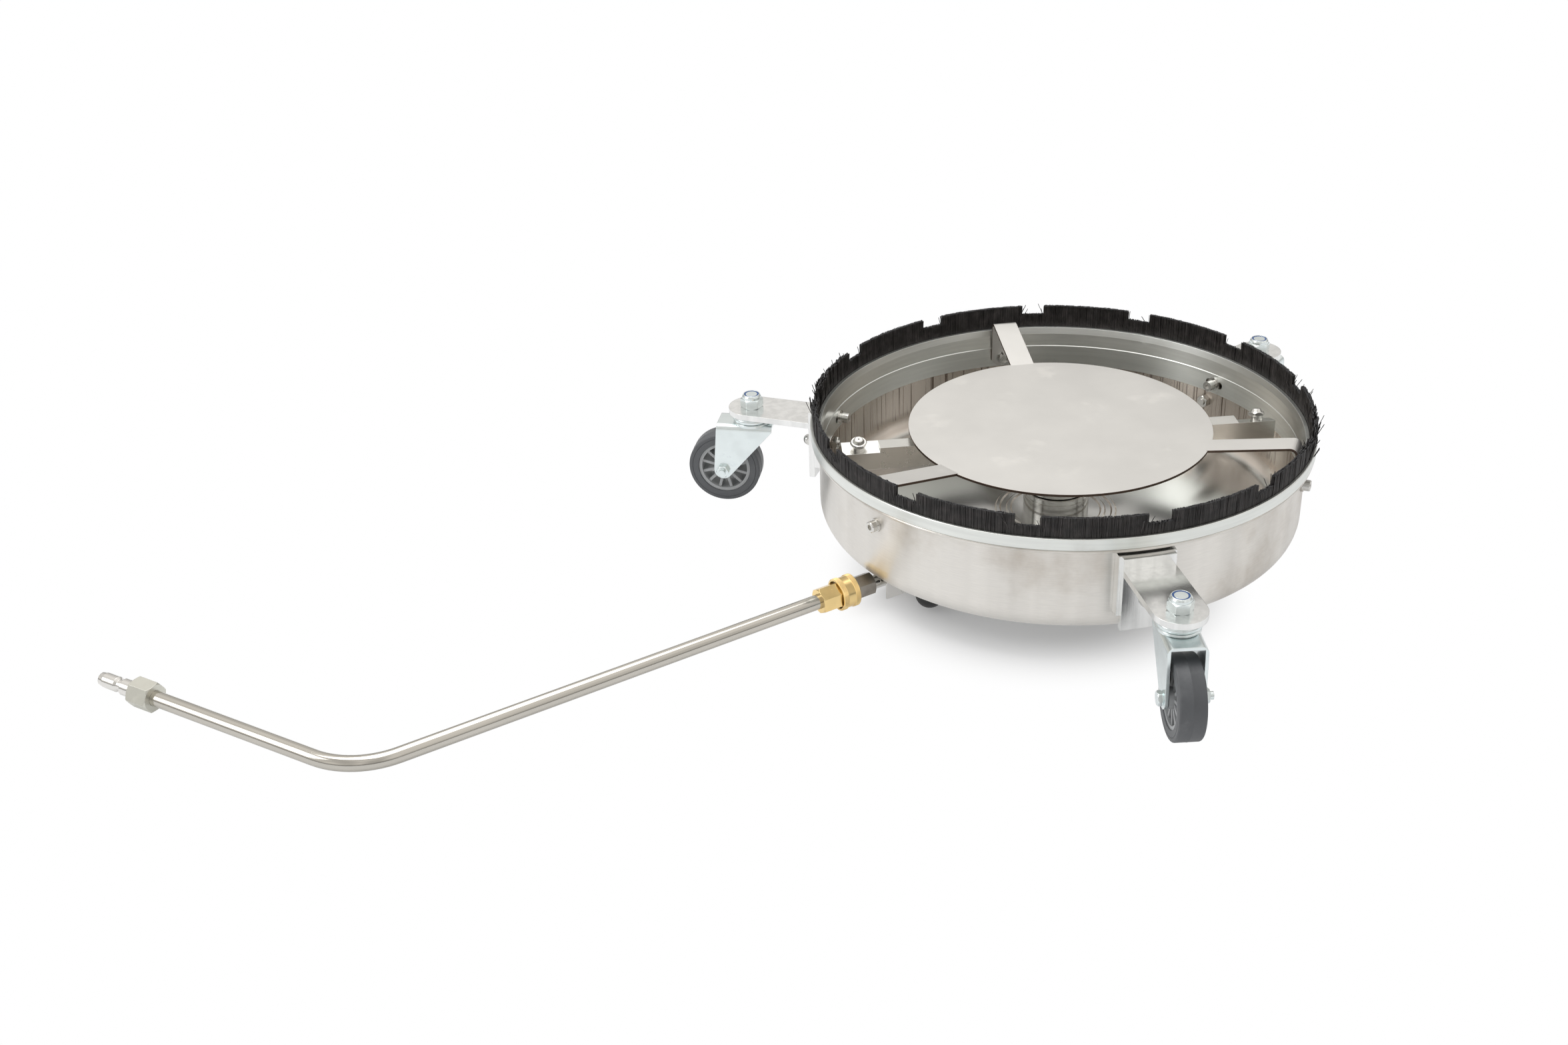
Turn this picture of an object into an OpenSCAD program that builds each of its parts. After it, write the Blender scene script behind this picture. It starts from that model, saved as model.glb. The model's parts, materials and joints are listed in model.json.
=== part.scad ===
// Rotary surface cleaner, lying with its brush ring up on its three castors.
// Millimetres, +Z up. The origin is on the floor, straight below the rotor axis.
// The lance runs out along -X and rests on the floor.

/* [Dish] */
// Outer radius of the dish wall
dish_r = 196.5; // [170:0.5:230]
// Sheet thickness of the dish
dish_t = 1.5; // [1:0.1:2.5]
// Outer radius of the corner between floor and wall
dish_corner_r = 20; // [8:1:30]
// Height of the underside of the dish above the floor
dish_z = 26; // [24:0.5:34]
// Height of the top of the rolled rim above the floor
rim_z = 102; // [96:0.5:112]
// How far the rolled rim stands out of the wall
rim_out = 6.5; // [4:0.5:9]
// Height of the rolled rim
rim_h = 2.8; // [2:0.1:4]
// Number of raised rings pressed in the dish floor round the swivel
floor_rings = 2; // [0:1:3]

/* [Brush ring] */
// Wall thickness of the ring's skirt inside the dish
skirt_t = 2.5; // [2:0.1:4]
// Depth of the skirt below the rim
skirt_depth = 28; // [22:0.5:34]
// Height of the outer band above the rim
band_h = 9.5; // [7:0.5:14]
// Radial width of the brush strip
brush_w = 3.2; // [2:0.1:5]
// Depth of the slot that holds the brush strip
slot_depth = 7.5; // [5:0.5:8]
// Height of the bristles above the outer band
brush_h = 16.5; // [10:0.5:30]
// Number of notches cut in the bristles
notch_count = 13; // [6:1:20]
// Bearing of the first notch
notch_start = 3.5; // [0:0.5:25]
// Width of one notch
notch_w = 20; // [10:1:30]
// Depth of one notch
notch_depth = 7.5; // [3:0.5:9]
// Number of screws that hold the ring in the dish
ring_screw_count = 6; // [6:3:12]
// Length of the slots that let the ring be set, over their round ends
ring_slot_len = 18; // [12:1:26]
// Depth of the ring screws below the rim
ring_screw_drop = 19; // [16:0.5:21]

/* [Guard] */
// Radius of the guard plate
guard_r = 123; // [90:1:150]
// Sheet thickness of the guard plate
guard_t = 2; // [1.5:0.1:3]
// Width of the three guard arms
guard_arm_w = 20.5; // [16:0.5:30]
// Angle at which the arms rise from the plate towards the ring
guard_arm_rise = 10.5; // [8:0.5:12]
// Height of the top of the guard above the rim
guard_rise = 3.7; // [3:0.1:6]
// Depth of the tabs' lower ends below the guard plate
guard_tab_h = 30; // [29:1:42]
// Bearing of the first guard arm
guard_start = 67; // [60:0.5:70]

/* [Castors] */
// Bearing of the first castor
caster_start = 10; // [7:0.5:13]
// Distance of the castor stems from the dish wall
stem_stand = 71.5; // [65.5:0.5:93.5]
// Wheel radius
wheel_r = 31.75; // [29:0.25:34]
// Wheel width over the tread
wheel_w = 20; // [16:0.5:24]
// Radius of the wheel's plastic centre
hub_r = 22.8; // [18:0.1:26]
// Number of spokes
spoke_count = 12; // [8:1:16]
// Offset of the axle from the stem
trail = 25; // [20:0.5:28]
// Height from the axle to the top of the fork
fork_rise = 44.7; // [43:0.1:50]
// Sheet thickness of the fork
fork_t = 2.5; // [2:0.1:3.5]
// Gap between the wheel and each fork leg
fork_side_gap = 2; // [1.5:0.1:4]
// Height of the swivel race
race_h = 7; // [4.2:0.1:8]
// Radius of the swivel race
race_r = 17; // [15:0.5:19]
// Radius of the stem bolt
stem_r = 5; // [4:0.1:6]
// Radius of the axle bolt
axle_r = 3; // [2.5:0.1:4]

/* [Castor brackets] */
// Thickness of the bracket's two plates
bracket_t = 5; // [4:0.5:7]
// Width of the bracket
bracket_w = 40; // [36:1:50]
// Distance of the bracket's outer face from the dish wall
bracket_stand = 13.5; // [12:0.5:18]
// Height of the bracket's upright plate
bracket_h = 60; // [56:1:62]
// Height of the spacer block
spacer_h = 50; // [46:1:54]
// Height of the bracket bolts above the underside of the dish
bracket_bolt_rise = 37; // [34:0.5:38]

/* [Swivel and rotor] */
// Radius of the swivel housing
housing_r = 27; // [26:0.5:30]
// Height of the bearing cap on the housing
cap_h = 4.8; // [4:0.1:7]
// Height of the drum at the foot of the rotor hub
drum_h = 15; // [8:0.5:20]
// Radius of the shaft in its bearings
shaft_r = 6; // [5:0.1:7]
// Outer radius of the ball bearings
bearing_r = 14; // [13:0.1:14.5]
// Width of the ball bearings
bearing_w = 6.5; // [6:0.1:8]
// Length of the rotor arm, tip to tip
arm_len = 358; // [300:2:360]
// Width of the rotor arm's channel
arm_w = 14.5; // [14:0.5:18]
// Height of the rotor arm's channel
arm_h = 19; // [16:0.5:20]
// Sheet thickness of the rotor arm
arm_t = 1.5; // [1:0.1:2]
// Length of each tilted end of the rotor arm
arm_end_len = 30.5; // [28:0.5:50]
// Tilt of the arm ends, which makes the jets turn the rotor
nozzle_tilt = 17; // [5:1:20]
// Distance of the nozzles from the tips of the rotor arm
nozzle_inset = 13.5; // [12:0.5:28]
// Bearing at which the rotor arm stands at rest
rotor_rest = 154.5; // [150:0.5:160]

/* [Inlet and coupler] */
// Radius of the inlet pipe
pipe_r = 5; // [4:0.1:5.2]
// How far the adapter's outer end stands outside the dish wall
adapter_stand = 4.5; // [-2:0.5:9]
// Length of the adapter
adapter_len = 16; // [14:0.5:18]
// Width of the adapter across its flats
adapter_af = 17; // [15:0.5:19]
// Radius of the quick connect nose, which the coupler seats on
nose_r = 5.9; // [5:0.1:6.2]
// Length of the coupler's sleeve
sleeve_len = 15.5; // [15.5:0.5:24]
// Radius of the coupler's sleeve
sleeve_r = 13.25; // [12.5:0.05:14]
// Width of the coupler's hexagon across its flats
coupler_af = 19; // [17:0.5:20]
// Length of the coupler's hexagon
coupler_hex_len = 17.5; // [12:0.5:20]
// Travel of the sleeve when it is pulled back
sleeve_travel = 4; // [3:0.5:5]

/* [Lance] */
// Outer radius of the lance tube
lance_r = 6; // [5:0.1:6.5]
// Wall thickness of the lance tube
lance_t = 2; // [1:0.1:2.5]
// Distance of the lance's corner from the rotor axis
lance_reach = 617; // [400:1:900]
// Length of the short leg, from the corner to the middle of the nut
short_leg = 198; // [120:1:300]
// Angle of the bend
lance_bend = 60; // [30:1:80]
// Centre line radius of the bend
lance_bend_r = 60; // [40:1:90]
// Width of the lance nut across its flats
lance_nut_af = 20.5; // [18:0.5:24]
// Length of the lance nut
lance_nut_len = 19.5; // [18:0.5:30]

/* [Feet and inlet saddle] */
// Radius of a rubber foot's dome
foot_r = 11.5; // [9:0.5:12]
// Distance of the rubber feet from the dish wall
foot_inset = 38.5; // [36.5:0.5:56.5]
// Clear height under the rubber feet
foot_clear = 3; // [2:0.5:6]
// Distance between the cheeks of the inlet saddle
saddle_gap = 17; // [14:0.5:22]
// Length of the inlet saddle
saddle_len = 34; // [24:1:44]

/* [Hidden] */

$fn = 48;

// Clearances
run_gap = 0.05;   // a shaft in its running bore
fit_gap = 0.2;    // a bolt in its hole, beyond the bolt's radius
seat_gap = 0.05;  // two round pieces that are fixed together

// Dish and brush ring
dish_in_r = dish_r - dish_t;
dish_floor_z = dish_z + dish_t;
bead_w = 5;
bead_h = 1;
bead_pitch = 9;
rim_r = dish_r + rim_out;
ring_base_z = rim_z + 0.3;
band_top_z = ring_base_z + band_h;
band_r = rim_r + 0.5;
band_edge = 0.5;
skirt_r = dish_in_r - 0.2;
skirt_in_r = skirt_r - skirt_t;
skirt_z = rim_z - skirt_depth;
slot_out_r = band_r - 2.3;
slot_in_r = slot_out_r - brush_w - 0.4;
slot_z = band_top_z - slot_depth;
lip_t = 3;
lip_drop = 3;
lip_r = slot_in_r - lip_t;
ridge_z = rim_z - 10;
brush_top_z = band_top_z + brush_h;
ring_screw_z = rim_z - ring_screw_drop;
ring_screw_r = 2.5;
ring_slot_r = ring_screw_r + 0.7;
screw_head_r = 4.5;
screw_head_h = 5;
sleeve_nut_r = 5;
ring_sleeve_len = 9;
ring_washer_t = 1.6;

// Guard
guard_z = rim_z + guard_rise;
tab_face_x = sqrt(pow(skirt_in_r, 2) - pow(guard_arm_w / 2, 2)) - 0.1;
tab_chamfer = 5;
guard_bend_r = 6;

// Castors
stem_circle_r = dish_r + stem_stand;
axle_z = wheel_r;
fork_top_z = axle_z + fork_rise;
collar_h = 1.2;
collar_r = race_r - 1;
fork_plate_z = fork_top_z - collar_h;
fork_gap = wheel_w + 2 * fork_side_gap;
fork_w = fork_gap + 2 * fork_t;
fork_front = trail + 4.5;
fork_back = 19;
fork_boss_r = 8;
plate_z = fork_top_z + race_h;
plate_top_z = plate_z + bracket_t;
bracket_x = dish_r + bracket_stand;
bracket_top_z = rim_z - rim_h - 1.2;
bracket_bolt_z = dish_z + bracket_bolt_rise;
bolt_r = 3;
bracket_head_af = 10;
bracket_head_h = 5.5;
bracket_dome_r = 4.7;
bracket_dome_h = 4.4;
bracket_washer_t = 1.6;
bracket_nut_af = 10;
bracket_nut_h = 5;
bracket_nut_x = sqrt(pow(dish_in_r, 2) - pow(bracket_nut_af * 0.6, 2)) - 0.1;
race_ball_r = 1.5;
race_ball_circle = race_r - 5;
race_ball_count = 14;
stem_nut_af = 17;
stem_nut_h = 8;
stem_dome_h = 3.6;
stem_nylon_r = stem_r + 1.4;
stem_nylon_h = 1.4;
stem_head_h = 5;
hub_w = wheel_w - 2;
hub_rim_t = 2.8;
hub_boss_r = 8;
hub_boss_w = fork_gap - 1;
spoke_w = 2.4;
axle_head_h = 4;
axle_af = axle_r * 10 / 3;
swivel_rest = [14, 9, -8];

// Swivel and rotor
base_r = housing_r + 7;
base_z = 8;
bead_start_r = housing_r + 12;
bearing_gap = 1;
bearing_low_z = dish_floor_z + 1.5;
housing_top_z = bearing_low_z + 2 * bearing_w + bearing_gap + 0.2;
cap_top_z = housing_top_z + cap_h;
bearing_high_z = bearing_low_z + bearing_w + bearing_gap;
bearing_pitch_r = (shaft_r + bearing_r) / 2;
bearing_race_t = (bearing_r - shaft_r) * 0.3;
bearing_ball_r = (bearing_r - shaft_r) * 0.26;
bearing_ball_count = 8;
shaft_bore_r = 2.5;
seal_r = shaft_r + 3;
seal_h = 3;
seal_z = dish_z - seal_h - 0.1;
shaft_low_z = seal_z - 0.9;
shoulder_r = shaft_r + 1.8;
clamp_r = bearing_r + 6.5;
circlip_t = 1.2;
circlip_z = bearing_low_z - circlip_t - 0.1;
hub_low_z = cap_top_z + 0.5;
drum_r = housing_r - 1;
hub_body_r = 16;
arm_room = 4.8;
arm_top_z = guard_z - guard_t - arm_room;
arm_low_z = arm_top_z - arm_h;
hub_block_w = arm_w - 2 * arm_t - 0.2;
hub_block_len = 44;
arm_drop = arm_w * sin(nozzle_tilt);
nozzle_circle_r = arm_len / 2 - nozzle_inset;
spray_pipe_r = 3;
spray_z = arm_low_z + 6;
nozzle_pitch_z = arm_top_z - arm_drop / 2;
nozzle_foot_r = 4.9;
nozzle_foot_h = 3.9;
nozzle_hex_af = 12;
nozzle_hex_h = 3;
nozzle_h = 9.8;
shank_len = 6;
socket_r = 5.3;
pipe_end_x = nozzle_circle_r - 3;
adapter_end = dish_r + adapter_stand;

// Lance axis: it leaves the rotor axis at lance_z0 and dips to the floor
inlet_z = 16;
lance_dip = asin((inlet_z - lance_r) / (lance_reach - adapter_end));
lance_z0 = lance_r + lance_reach * sin(lance_dip);
pipe_start = base_r - 12;
pipe_bore_r = pipe_r - 2;
adapter_start = adapter_end - adapter_len;
adapter_socket = 7;
nipple_collar_r = 7;
coupler_start = adapter_end + 2.5;
sleeve_start = coupler_start - 1.7;
sleeve_end = sleeve_start + sleeve_len;
hex_start = sleeve_end - 1;
hex_end = hex_start + coupler_hex_len;
coupler_r = nose_r + 3.3;
lock_ball_r = 2;
lock_ball_at = nose_r + 1.2;
lock_z = coupler_start + 3.4;
lock_count = 6;
seal_at = coupler_start + 7;
seal_wire_r = 0.9;
nose_end = coupler_start + 11;
sleeve_web = 6;
sleeve_cavity_r = coupler_af / sqrt(3) + 0.4;
spring_wire_r = 0.6;
spring_start = sleeve_start + sleeve_web + sleeve_travel + spring_wire_r + 0.2;
spring_end = hex_start - spring_wire_r - 0.2;
spring_turns = max(1, floor((spring_end - spring_start) / (2 * spring_wire_r + 0.2)));
spring_r = (coupler_r + sleeve_cavity_r) / 2 - 0.1;
tube_start = hex_end - 10;
bend_tangent = lance_bend_r * tan(lance_bend / 2);
nut_rest = lance_nut_af / 2 + 0.7;
lance_roll = asin((nut_rest - lance_r + short_leg * cos(lance_bend) * sin(lance_dip))
    / (short_leg * sin(lance_bend)));
nut_start = short_leg - lance_nut_len / 2;
nut_end = short_leg + lance_nut_len / 2;
plug_r = 5.95;
plug_len = 34.5;
plug_collar_len = 11.5;
plug_neck_r = plug_r - 1.5;
plug_neck_end = plug_collar_len + 5;
plug_nose_start = plug_neck_end + 2;
plug_nose_end = plug_len - 4.5;

// Feet and saddle
foot_base_r = foot_r + 3.5;
foot_base_h = 5;
foot_start = 73.6;
foot_circle_r = dish_r - foot_inset;
saddle_t = 1.5;
saddle_mid = dish_in_r - dish_corner_r - saddle_len / 2 + 1;
saddle_z = 3;
saddle_screw_r = 2;

// ---------- shared shapes ----------

module hexagon(af, h) {
    cylinder(h = h, r = af / sqrt(3), $fn = 6);
}

// A hexagon whose corners are turned off at both ends
module turned_hex(af, h) {
    intersection() {
        hexagon(af, h);
        union() {
            cylinder(h = 1, r1 = af / 2, r2 = af / sqrt(3));
            translate([0, 0, 1])
                cylinder(h = h - 2, r = af / sqrt(3) + 0.01);
            translate([0, 0, h - 1])
                cylinder(h = 1, r1 = af / sqrt(3), r2 = af / 2);
        }
    }
}

// A tube along Z
module tube(r, bore_r, h) {
    difference() {
        cylinder(h = h, r = r);
        translate([0, 0, -1])
            cylinder(h = h + 2, r = bore_r);
    }
}

// A cap screw that points along -Z, its head's seat at z = 0
module cap_screw(r, len, head_r, head_h) {
    difference() {
        union() {
            cylinder(h = head_h - 0.6, r = head_r);
            translate([0, 0, head_h - 0.6])
                cylinder(h = 0.6, r1 = head_r, r2 = head_r - 0.6);
            translate([0, 0, -len])
                cylinder(h = len, r = r);
        }
        translate([0, 0, head_h - head_h * 0.55])
            hexagon(head_r * 0.95, head_h);
    }
}

// A button head screw that points along -Z, its head's seat at z = 0
module button_screw(r, len, head_r, head_h) {
    ball_r = (pow(head_r, 2) + pow(head_h, 2)) / (2 * head_h);
    difference() {
        union() {
            intersection() {
                translate([0, 0, head_h - ball_r])
                    sphere(r = ball_r);
                cylinder(h = head_h + 1, r = head_r);
            }
            translate([0, 0, -len])
                cylinder(h = len, r = r);
        }
        translate([0, 0, head_h * 0.4])
            hexagon(r * 1.3, head_h);
    }
}

// A round dome of radius r at its foot
module dome(r, h) {
    ball_r = (pow(r, 2) + pow(h, 2)) / (2 * h);
    intersection() {
        translate([0, 0, h - ball_r])
            sphere(r = ball_r);
        cylinder(h = h + 1, r = r);
    }
}

// A hexagon nut along +Z with its seat at z = 0
module plain_nut(af, h, hole_r) {
    difference() {
        turned_hex(af, h);
        translate([0, 0, -1])
            cylinder(h = h + 2, r = hole_r);
    }
}

// Points of an arc round c, from angle a to angle b in n steps
function arc_points(c, r, a, b, n) =
    [for (i = [0 : n]) [c[0] + r * cos(a + (b - a) * i / n), c[1] + r * sin(a + (b - a) * i / n)]];

// ---------- places ----------

module at_bearing(angle, r, z) {
    rotate([0, 0, angle])
        translate([r, 0, z])
            children();
}

module at_caster(k) {
    at_bearing(caster_start + 120 * k, stem_circle_r, 0)
        children();
}

module in_fork(k) {
    at_caster(k)
        rotate([0, 0, swivel_rest[k]])
            children();
}

module at_axle(k) {
    in_fork(k)
        translate([trail, 0, axle_z])
            rotate([90, 0, 0])
                children();
}

// Local +Z runs out along the lance, local +X is up
module on_lance_axis(dist = 0) {
    translate([0, 0, lance_z0])
        rotate([0, -90 - lance_dip, 0])
            translate([0, 0, dist])
                children();
}

// Local +Z runs along the short leg, from the lance's corner
module on_short_leg(dist = 0) {
    on_lance_axis(lance_reach)
        rotate([0, 0, -lance_roll])
            rotate([-lance_bend, 0, 0])
                translate([0, 0, dist])
                    children();
}

module each_ring_screw() {
    for (i = [0 : ring_screw_count - 1])
        at_bearing(guard_start + i * 360 / ring_screw_count, 0, ring_screw_z)
            rotate([0, 90, 0])
                children();
}

module each_bracket_bolt() {
    for (k = [0 : 2])
        at_bearing(caster_start + 120 * k, 0, bracket_bolt_z)
            rotate([0, 90, 0])
                children();
}

// ---------- dish ----------

// Half section of the floor, with its raised rings
module floor_section() {
    edge_r = dish_r - dish_corner_r;
    polygon(concat(
        [[0, dish_z], [edge_r, dish_z], [edge_r, dish_floor_z]],
        [for (i = [floor_rings - 1 : -1 : 0], p = [[2, 0], [1, 1], [-1, 1], [-2, 0]])
            [bead_start_r + bead_pitch * i + p[0] * bead_w / 4, dish_floor_z + p[1] * bead_h]],
        [[0, dish_floor_z]]));
}

// Half section of the wall and of its corner with the floor
module wall_section() {
    edge_r = dish_r - dish_corner_r;
    union() {
        translate([edge_r, dish_z + dish_corner_r])
            difference() {
                circle(r = dish_corner_r);
                circle(r = dish_corner_r - dish_t);
                translate([-2 * dish_corner_r, -2 * dish_corner_r])
                    square([2 * dish_corner_r, 4 * dish_corner_r]);
                translate([-1, 0])
                    square([2 * dish_corner_r, 2 * dish_corner_r]);
            }
        translate([dish_in_r, dish_z + dish_corner_r])
            square([dish_t, rim_z - dish_z - dish_corner_r]);
    }
}

module dish_shell() {
    rim_round = rim_h / 2;
    color("silver")
        difference() {
            rotate_extrude($fn = 96)
                union() {
                    floor_section();
                    wall_section();
                    translate([dish_in_r, rim_z - rim_h])
                        square([rim_r - rim_round - dish_in_r, rim_h]);
                    translate([rim_r - rim_round, rim_z - rim_round])
                        circle(r = rim_round);
                }
            translate([0, 0, dish_z - 1])
                cylinder(h = dish_t + 2, r = seal_r - 0.5);
            each_clamp_screw(45)
                cylinder(h = 60, r = bolt_r + fit_gap);
            each_ring_screw()
                translate([0, 0, skirt_in_r])
                    cylinder(h = 30, r = ring_screw_r + fit_gap);
            each_bracket_bolt()
                translate([0, 0, skirt_in_r - 20])
                    cylinder(h = 50, r = bolt_r + fit_gap);
            each_saddle_screw()
                cylinder(h = 30, r = saddle_screw_r + fit_gap, center = true);
        }
}

// ---------- brush ring ----------

module brush_holder_ring() {
    color("gainsboro")
        difference() {
            rotate_extrude($fn = 96)
                polygon([
                    [skirt_in_r, skirt_z],
                    [skirt_r, skirt_z],
                    [skirt_r, ring_base_z],
                    [band_r - band_edge, ring_base_z],
                    [band_r, ring_base_z + band_edge],
                    [band_r, band_top_z - band_edge],
                    [band_r - band_edge, band_top_z],
                    [slot_out_r, band_top_z],
                    [slot_out_r, slot_z],
                    [slot_in_r, slot_z],
                    [slot_in_r, band_top_z - lip_drop],
                    [lip_r, band_top_z - lip_drop],
                    [skirt_in_r + 1, ring_base_z + 0.7],
                    [skirt_in_r + 0.5, ridge_z],
                    [skirt_in_r, ridge_z - 0.6]
                ]);
            each_ring_screw()
                translate([0, 0, skirt_in_r - 5])
                    ring_slot(15);
        }
}

// A slot along the ring's circumference, local +Z being radial
module ring_slot(h) {
    straight = ring_slot_len - 2 * ring_slot_r;
    translate([-ring_slot_r, -straight / 2, 0])
        cube([2 * ring_slot_r, straight, h]);
    for (side = [-1, 1])
        translate([0, side * straight / 2, 0])
            cylinder(h = h, r = ring_slot_r);
}

module brush_strip() {
    color("#1c1d20")
        difference() {
            rotate_extrude($fn = 96)
                translate([slot_in_r + 0.2, slot_z + 0.1])
                    square([brush_w, brush_top_z - slot_z - 0.1]);
            for (i = [0 : notch_count - 1])
                rotate([0, 0, notch_start + i * 360 / notch_count])
                    translate([slot_in_r - 5, -notch_w / 2, brush_top_z - notch_depth])
                        cube([brush_w + 12, notch_w, notch_depth + 1]);
        }
}

// The heads stand outside the dish; the sleeve nuts stand inside the ring
module ring_screws() {
    color("silver")
        each_ring_screw()
            translate([0, 0, dish_r + ring_washer_t])
                union() {
                    cap_screw(ring_screw_r, ring_washer_t + dish_t + skirt_t + 6,
                        screw_head_r, screw_head_h);
                    translate([0, 0, -ring_washer_t])
                        tube(screw_head_r + 1, ring_screw_r, ring_washer_t);
                }
}

// Every second screw also holds a tab of the guard, between ring and nut
module ring_sleeve_nuts() {
    flat_r = sqrt(pow(skirt_in_r, 2) - pow(sleeve_nut_r + 1, 2)) - 0.02;
    color("silver")
        for (i = [0 : ring_screw_count - 1]) {
            tab = guard_tab_here(i);
            seat = tab ? tab_face_x - guard_t : flat_r;
            len = tab ? ring_sleeve_len - 2 : ring_sleeve_len;
            at_bearing(guard_start + i * 360 / ring_screw_count, seat, ring_screw_z)
                rotate([0, -90, 0])
                    difference() {
                        union() {
                            cylinder(h = 1, r = sleeve_nut_r + 1);
                            translate([0, 0, 1])
                                cylinder(h = len - 6.4, r = sleeve_nut_r - 1.3);
                            translate([0, 0, len - 5.6])
                                cylinder(h = 5.6, r = sleeve_nut_r - 0.5);
                        }
                        translate([0, 0, -1])
                            cylinder(h = len - 1.6, r = ring_screw_r + seat_gap);
                        translate([0, 0, len - 1.6])
                            hexagon(4, 5);
                    }
        }
}

function guard_tab_here(i) = (i * 3) % ring_screw_count == 0;

// ---------- guard ----------

module guard_plate() {
    color("#d9d7d2")
        rotate([0, 0, guard_start])
            union() {
                translate([0, 0, guard_z - guard_t])
                    cylinder(h = guard_t, r = guard_r, $fn = 96);
                for (k = [0 : 2])
                    rotate([0, 0, 120 * k])
                        difference() {
                            guard_arm();
                            translate([tab_face_x - 10, 0, ring_screw_z])
                                rotate([0, 90, 0])
                                    cylinder(h = 20, r = ring_screw_r + fit_gap);
                        }
            }
}

// One arm along +X: it rises from the plate and bends down into its tab
module guard_arm() {
    low_z = guard_z - guard_tab_h;
    half_w = guard_arm_w / 2;
    fold_x = guard_r - 2;
    under_x = fold_x + guard_t * tan(guard_arm_rise / 2);
    bend_x = tab_face_x - guard_bend_r;
    bend_z = guard_z - guard_bend_r * cos(guard_arm_rise)
        + (bend_x - guard_bend_r * sin(guard_arm_rise) - fold_x) * tan(guard_arm_rise);
    top_z = bend_z + guard_bend_r + 1;
    intersection() {
        rotate([90, 0, 0])
            linear_extrude(height = guard_arm_w, center = true)
                polygon(concat(
                    [[guard_r - 8, guard_z], [fold_x, guard_z]],
                    arc_points([bend_x, bend_z], guard_bend_r, 90 + guard_arm_rise, 0, 8),
                    [[tab_face_x, low_z], [tab_face_x - guard_t, low_z]],
                    arc_points([bend_x, bend_z], guard_bend_r - guard_t, 0, 90 + guard_arm_rise, 6),
                    [[under_x, guard_z - guard_t], [guard_r - 8, guard_z - guard_t]]));
        rotate([90, 0, 90])
            linear_extrude(height = tab_face_x + 5)
                polygon([
                    [-half_w - 1, top_z],
                    [-half_w - 1, low_z + tab_chamfer + 1],
                    [-half_w + tab_chamfer + 1, low_z - 1],
                    [half_w - tab_chamfer - 1, low_z - 1],
                    [half_w + 1, low_z + tab_chamfer + 1],
                    [half_w + 1, top_z]
                ]);
    }
}

// ---------- swivel ----------

module each_clamp_screw(turn) {
    for (i = [0 : 3])
        at_bearing(turn + 90 * i, clamp_r, 0)
            children();
}

// The block under the dish, which takes the inlet pipe
module swivel_base() {
    color("#a9a9a4")
        difference() {
            union() {
                translate([0, 0, base_z])
                    cylinder(h = 1, r1 = base_r - 1, r2 = base_r);
                translate([0, 0, base_z + 1])
                    cylinder(h = dish_z - base_z - 1, r = base_r);
            }
            translate([0, 0, lance_z0 - 4])
                cylinder(h = 30, r = shaft_r + 0.5);
            translate([0, 0, seal_z - 0.05])
                cylinder(h = 10, r = seal_r + seat_gap);
            each_clamp_screw(45) {
                cylinder(h = 60, r = bolt_r + fit_gap);
                cylinder(h = base_z + 5, r = 5.2);
            }
            on_lance_axis(pipe_start)
                cylinder(h = 60, r = pipe_r + seat_gap);
            on_lance_axis(shaft_r)
                cylinder(h = base_r, r = pipe_bore_r);
        }
}

// The housing inside the dish, clamped to the base through the dish floor
module swivel_housing() {
    color("#b4b3ae")
        difference() {
            translate([0, 0, dish_floor_z])
                cylinder(h = housing_top_z - dish_floor_z, r = housing_r);
            translate([0, 0, dish_floor_z - 1])
                cylinder(h = 20, r = shaft_r + 2.5);
            translate([0, 0, bearing_low_z])
                cylinder(h = 30, r = bearing_r + seat_gap);
            each_clamp_screw(45)
                cylinder(h = housing_top_z - 3, r = bolt_r + seat_gap);
            each_clamp_screw(0)
                translate([0, 0, housing_top_z - 8])
                    cylinder(h = 20, r = 2 + seat_gap);
        }
}

// Closes the housing and keeps the outer rings down
module bearing_cap() {
    color("#bbbab5")
        difference() {
            translate([0, 0, housing_top_z])
                union() {
                    cylinder(h = cap_h - 0.6, r = housing_r - 0.5);
                    translate([0, 0, cap_h - 0.6])
                        cylinder(h = 0.6, r1 = housing_r - 0.5, r2 = housing_r - 1.1);
                }
            cylinder(h = 100, r = shoulder_r + 0.4);
            each_clamp_screw(0) {
                cylinder(h = 100, r = 2 + fit_gap);
                translate([0, 0, cap_top_z - 2.5])
                    cylinder(h = 10, r = 3.8);
            }
        }
}

// Four screws up through base and dish, and four down through the cap
module swivel_screws() {
    color("silver") {
        each_clamp_screw(45)
            translate([0, 0, base_z + 5])
                rotate([180, 0, 0])
                    cap_screw(bolt_r, housing_top_z - 5 - base_z - 5, 5, 4.6);
        each_clamp_screw(0)
            translate([0, 0, cap_top_z - 2.5])
                cap_screw(2, cap_h - 2.5 + 7, 3.5, 2.3);
    }
}

module each_bearing() {
    for (z = [bearing_low_z, bearing_high_z])
        translate([0, 0, z])
            children();
}

module ball_track() {
    rotate_extrude()
        translate([bearing_pitch_r, bearing_w / 2])
            circle(r = bearing_ball_r + 0.1);
}

module bearing_outer_rings() {
    color("lightsteelblue")
        each_bearing()
            difference() {
                tube(bearing_r, bearing_r - bearing_race_t, bearing_w);
                ball_track();
            }
}

module bearing_inner_rings() {
    color("lightsteelblue")
        each_bearing()
            difference() {
                tube(shaft_r + bearing_race_t, shaft_r + run_gap, bearing_w);
                ball_track();
            }
}

module bearing_balls() {
    color("white")
        each_bearing()
            for (i = [0 : bearing_ball_count - 1])
                rotate([0, 0, i * 360 / bearing_ball_count])
                    translate([bearing_pitch_r, 0, bearing_w / 2])
                        sphere(r = bearing_ball_r, $fn = 24);
}

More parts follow.
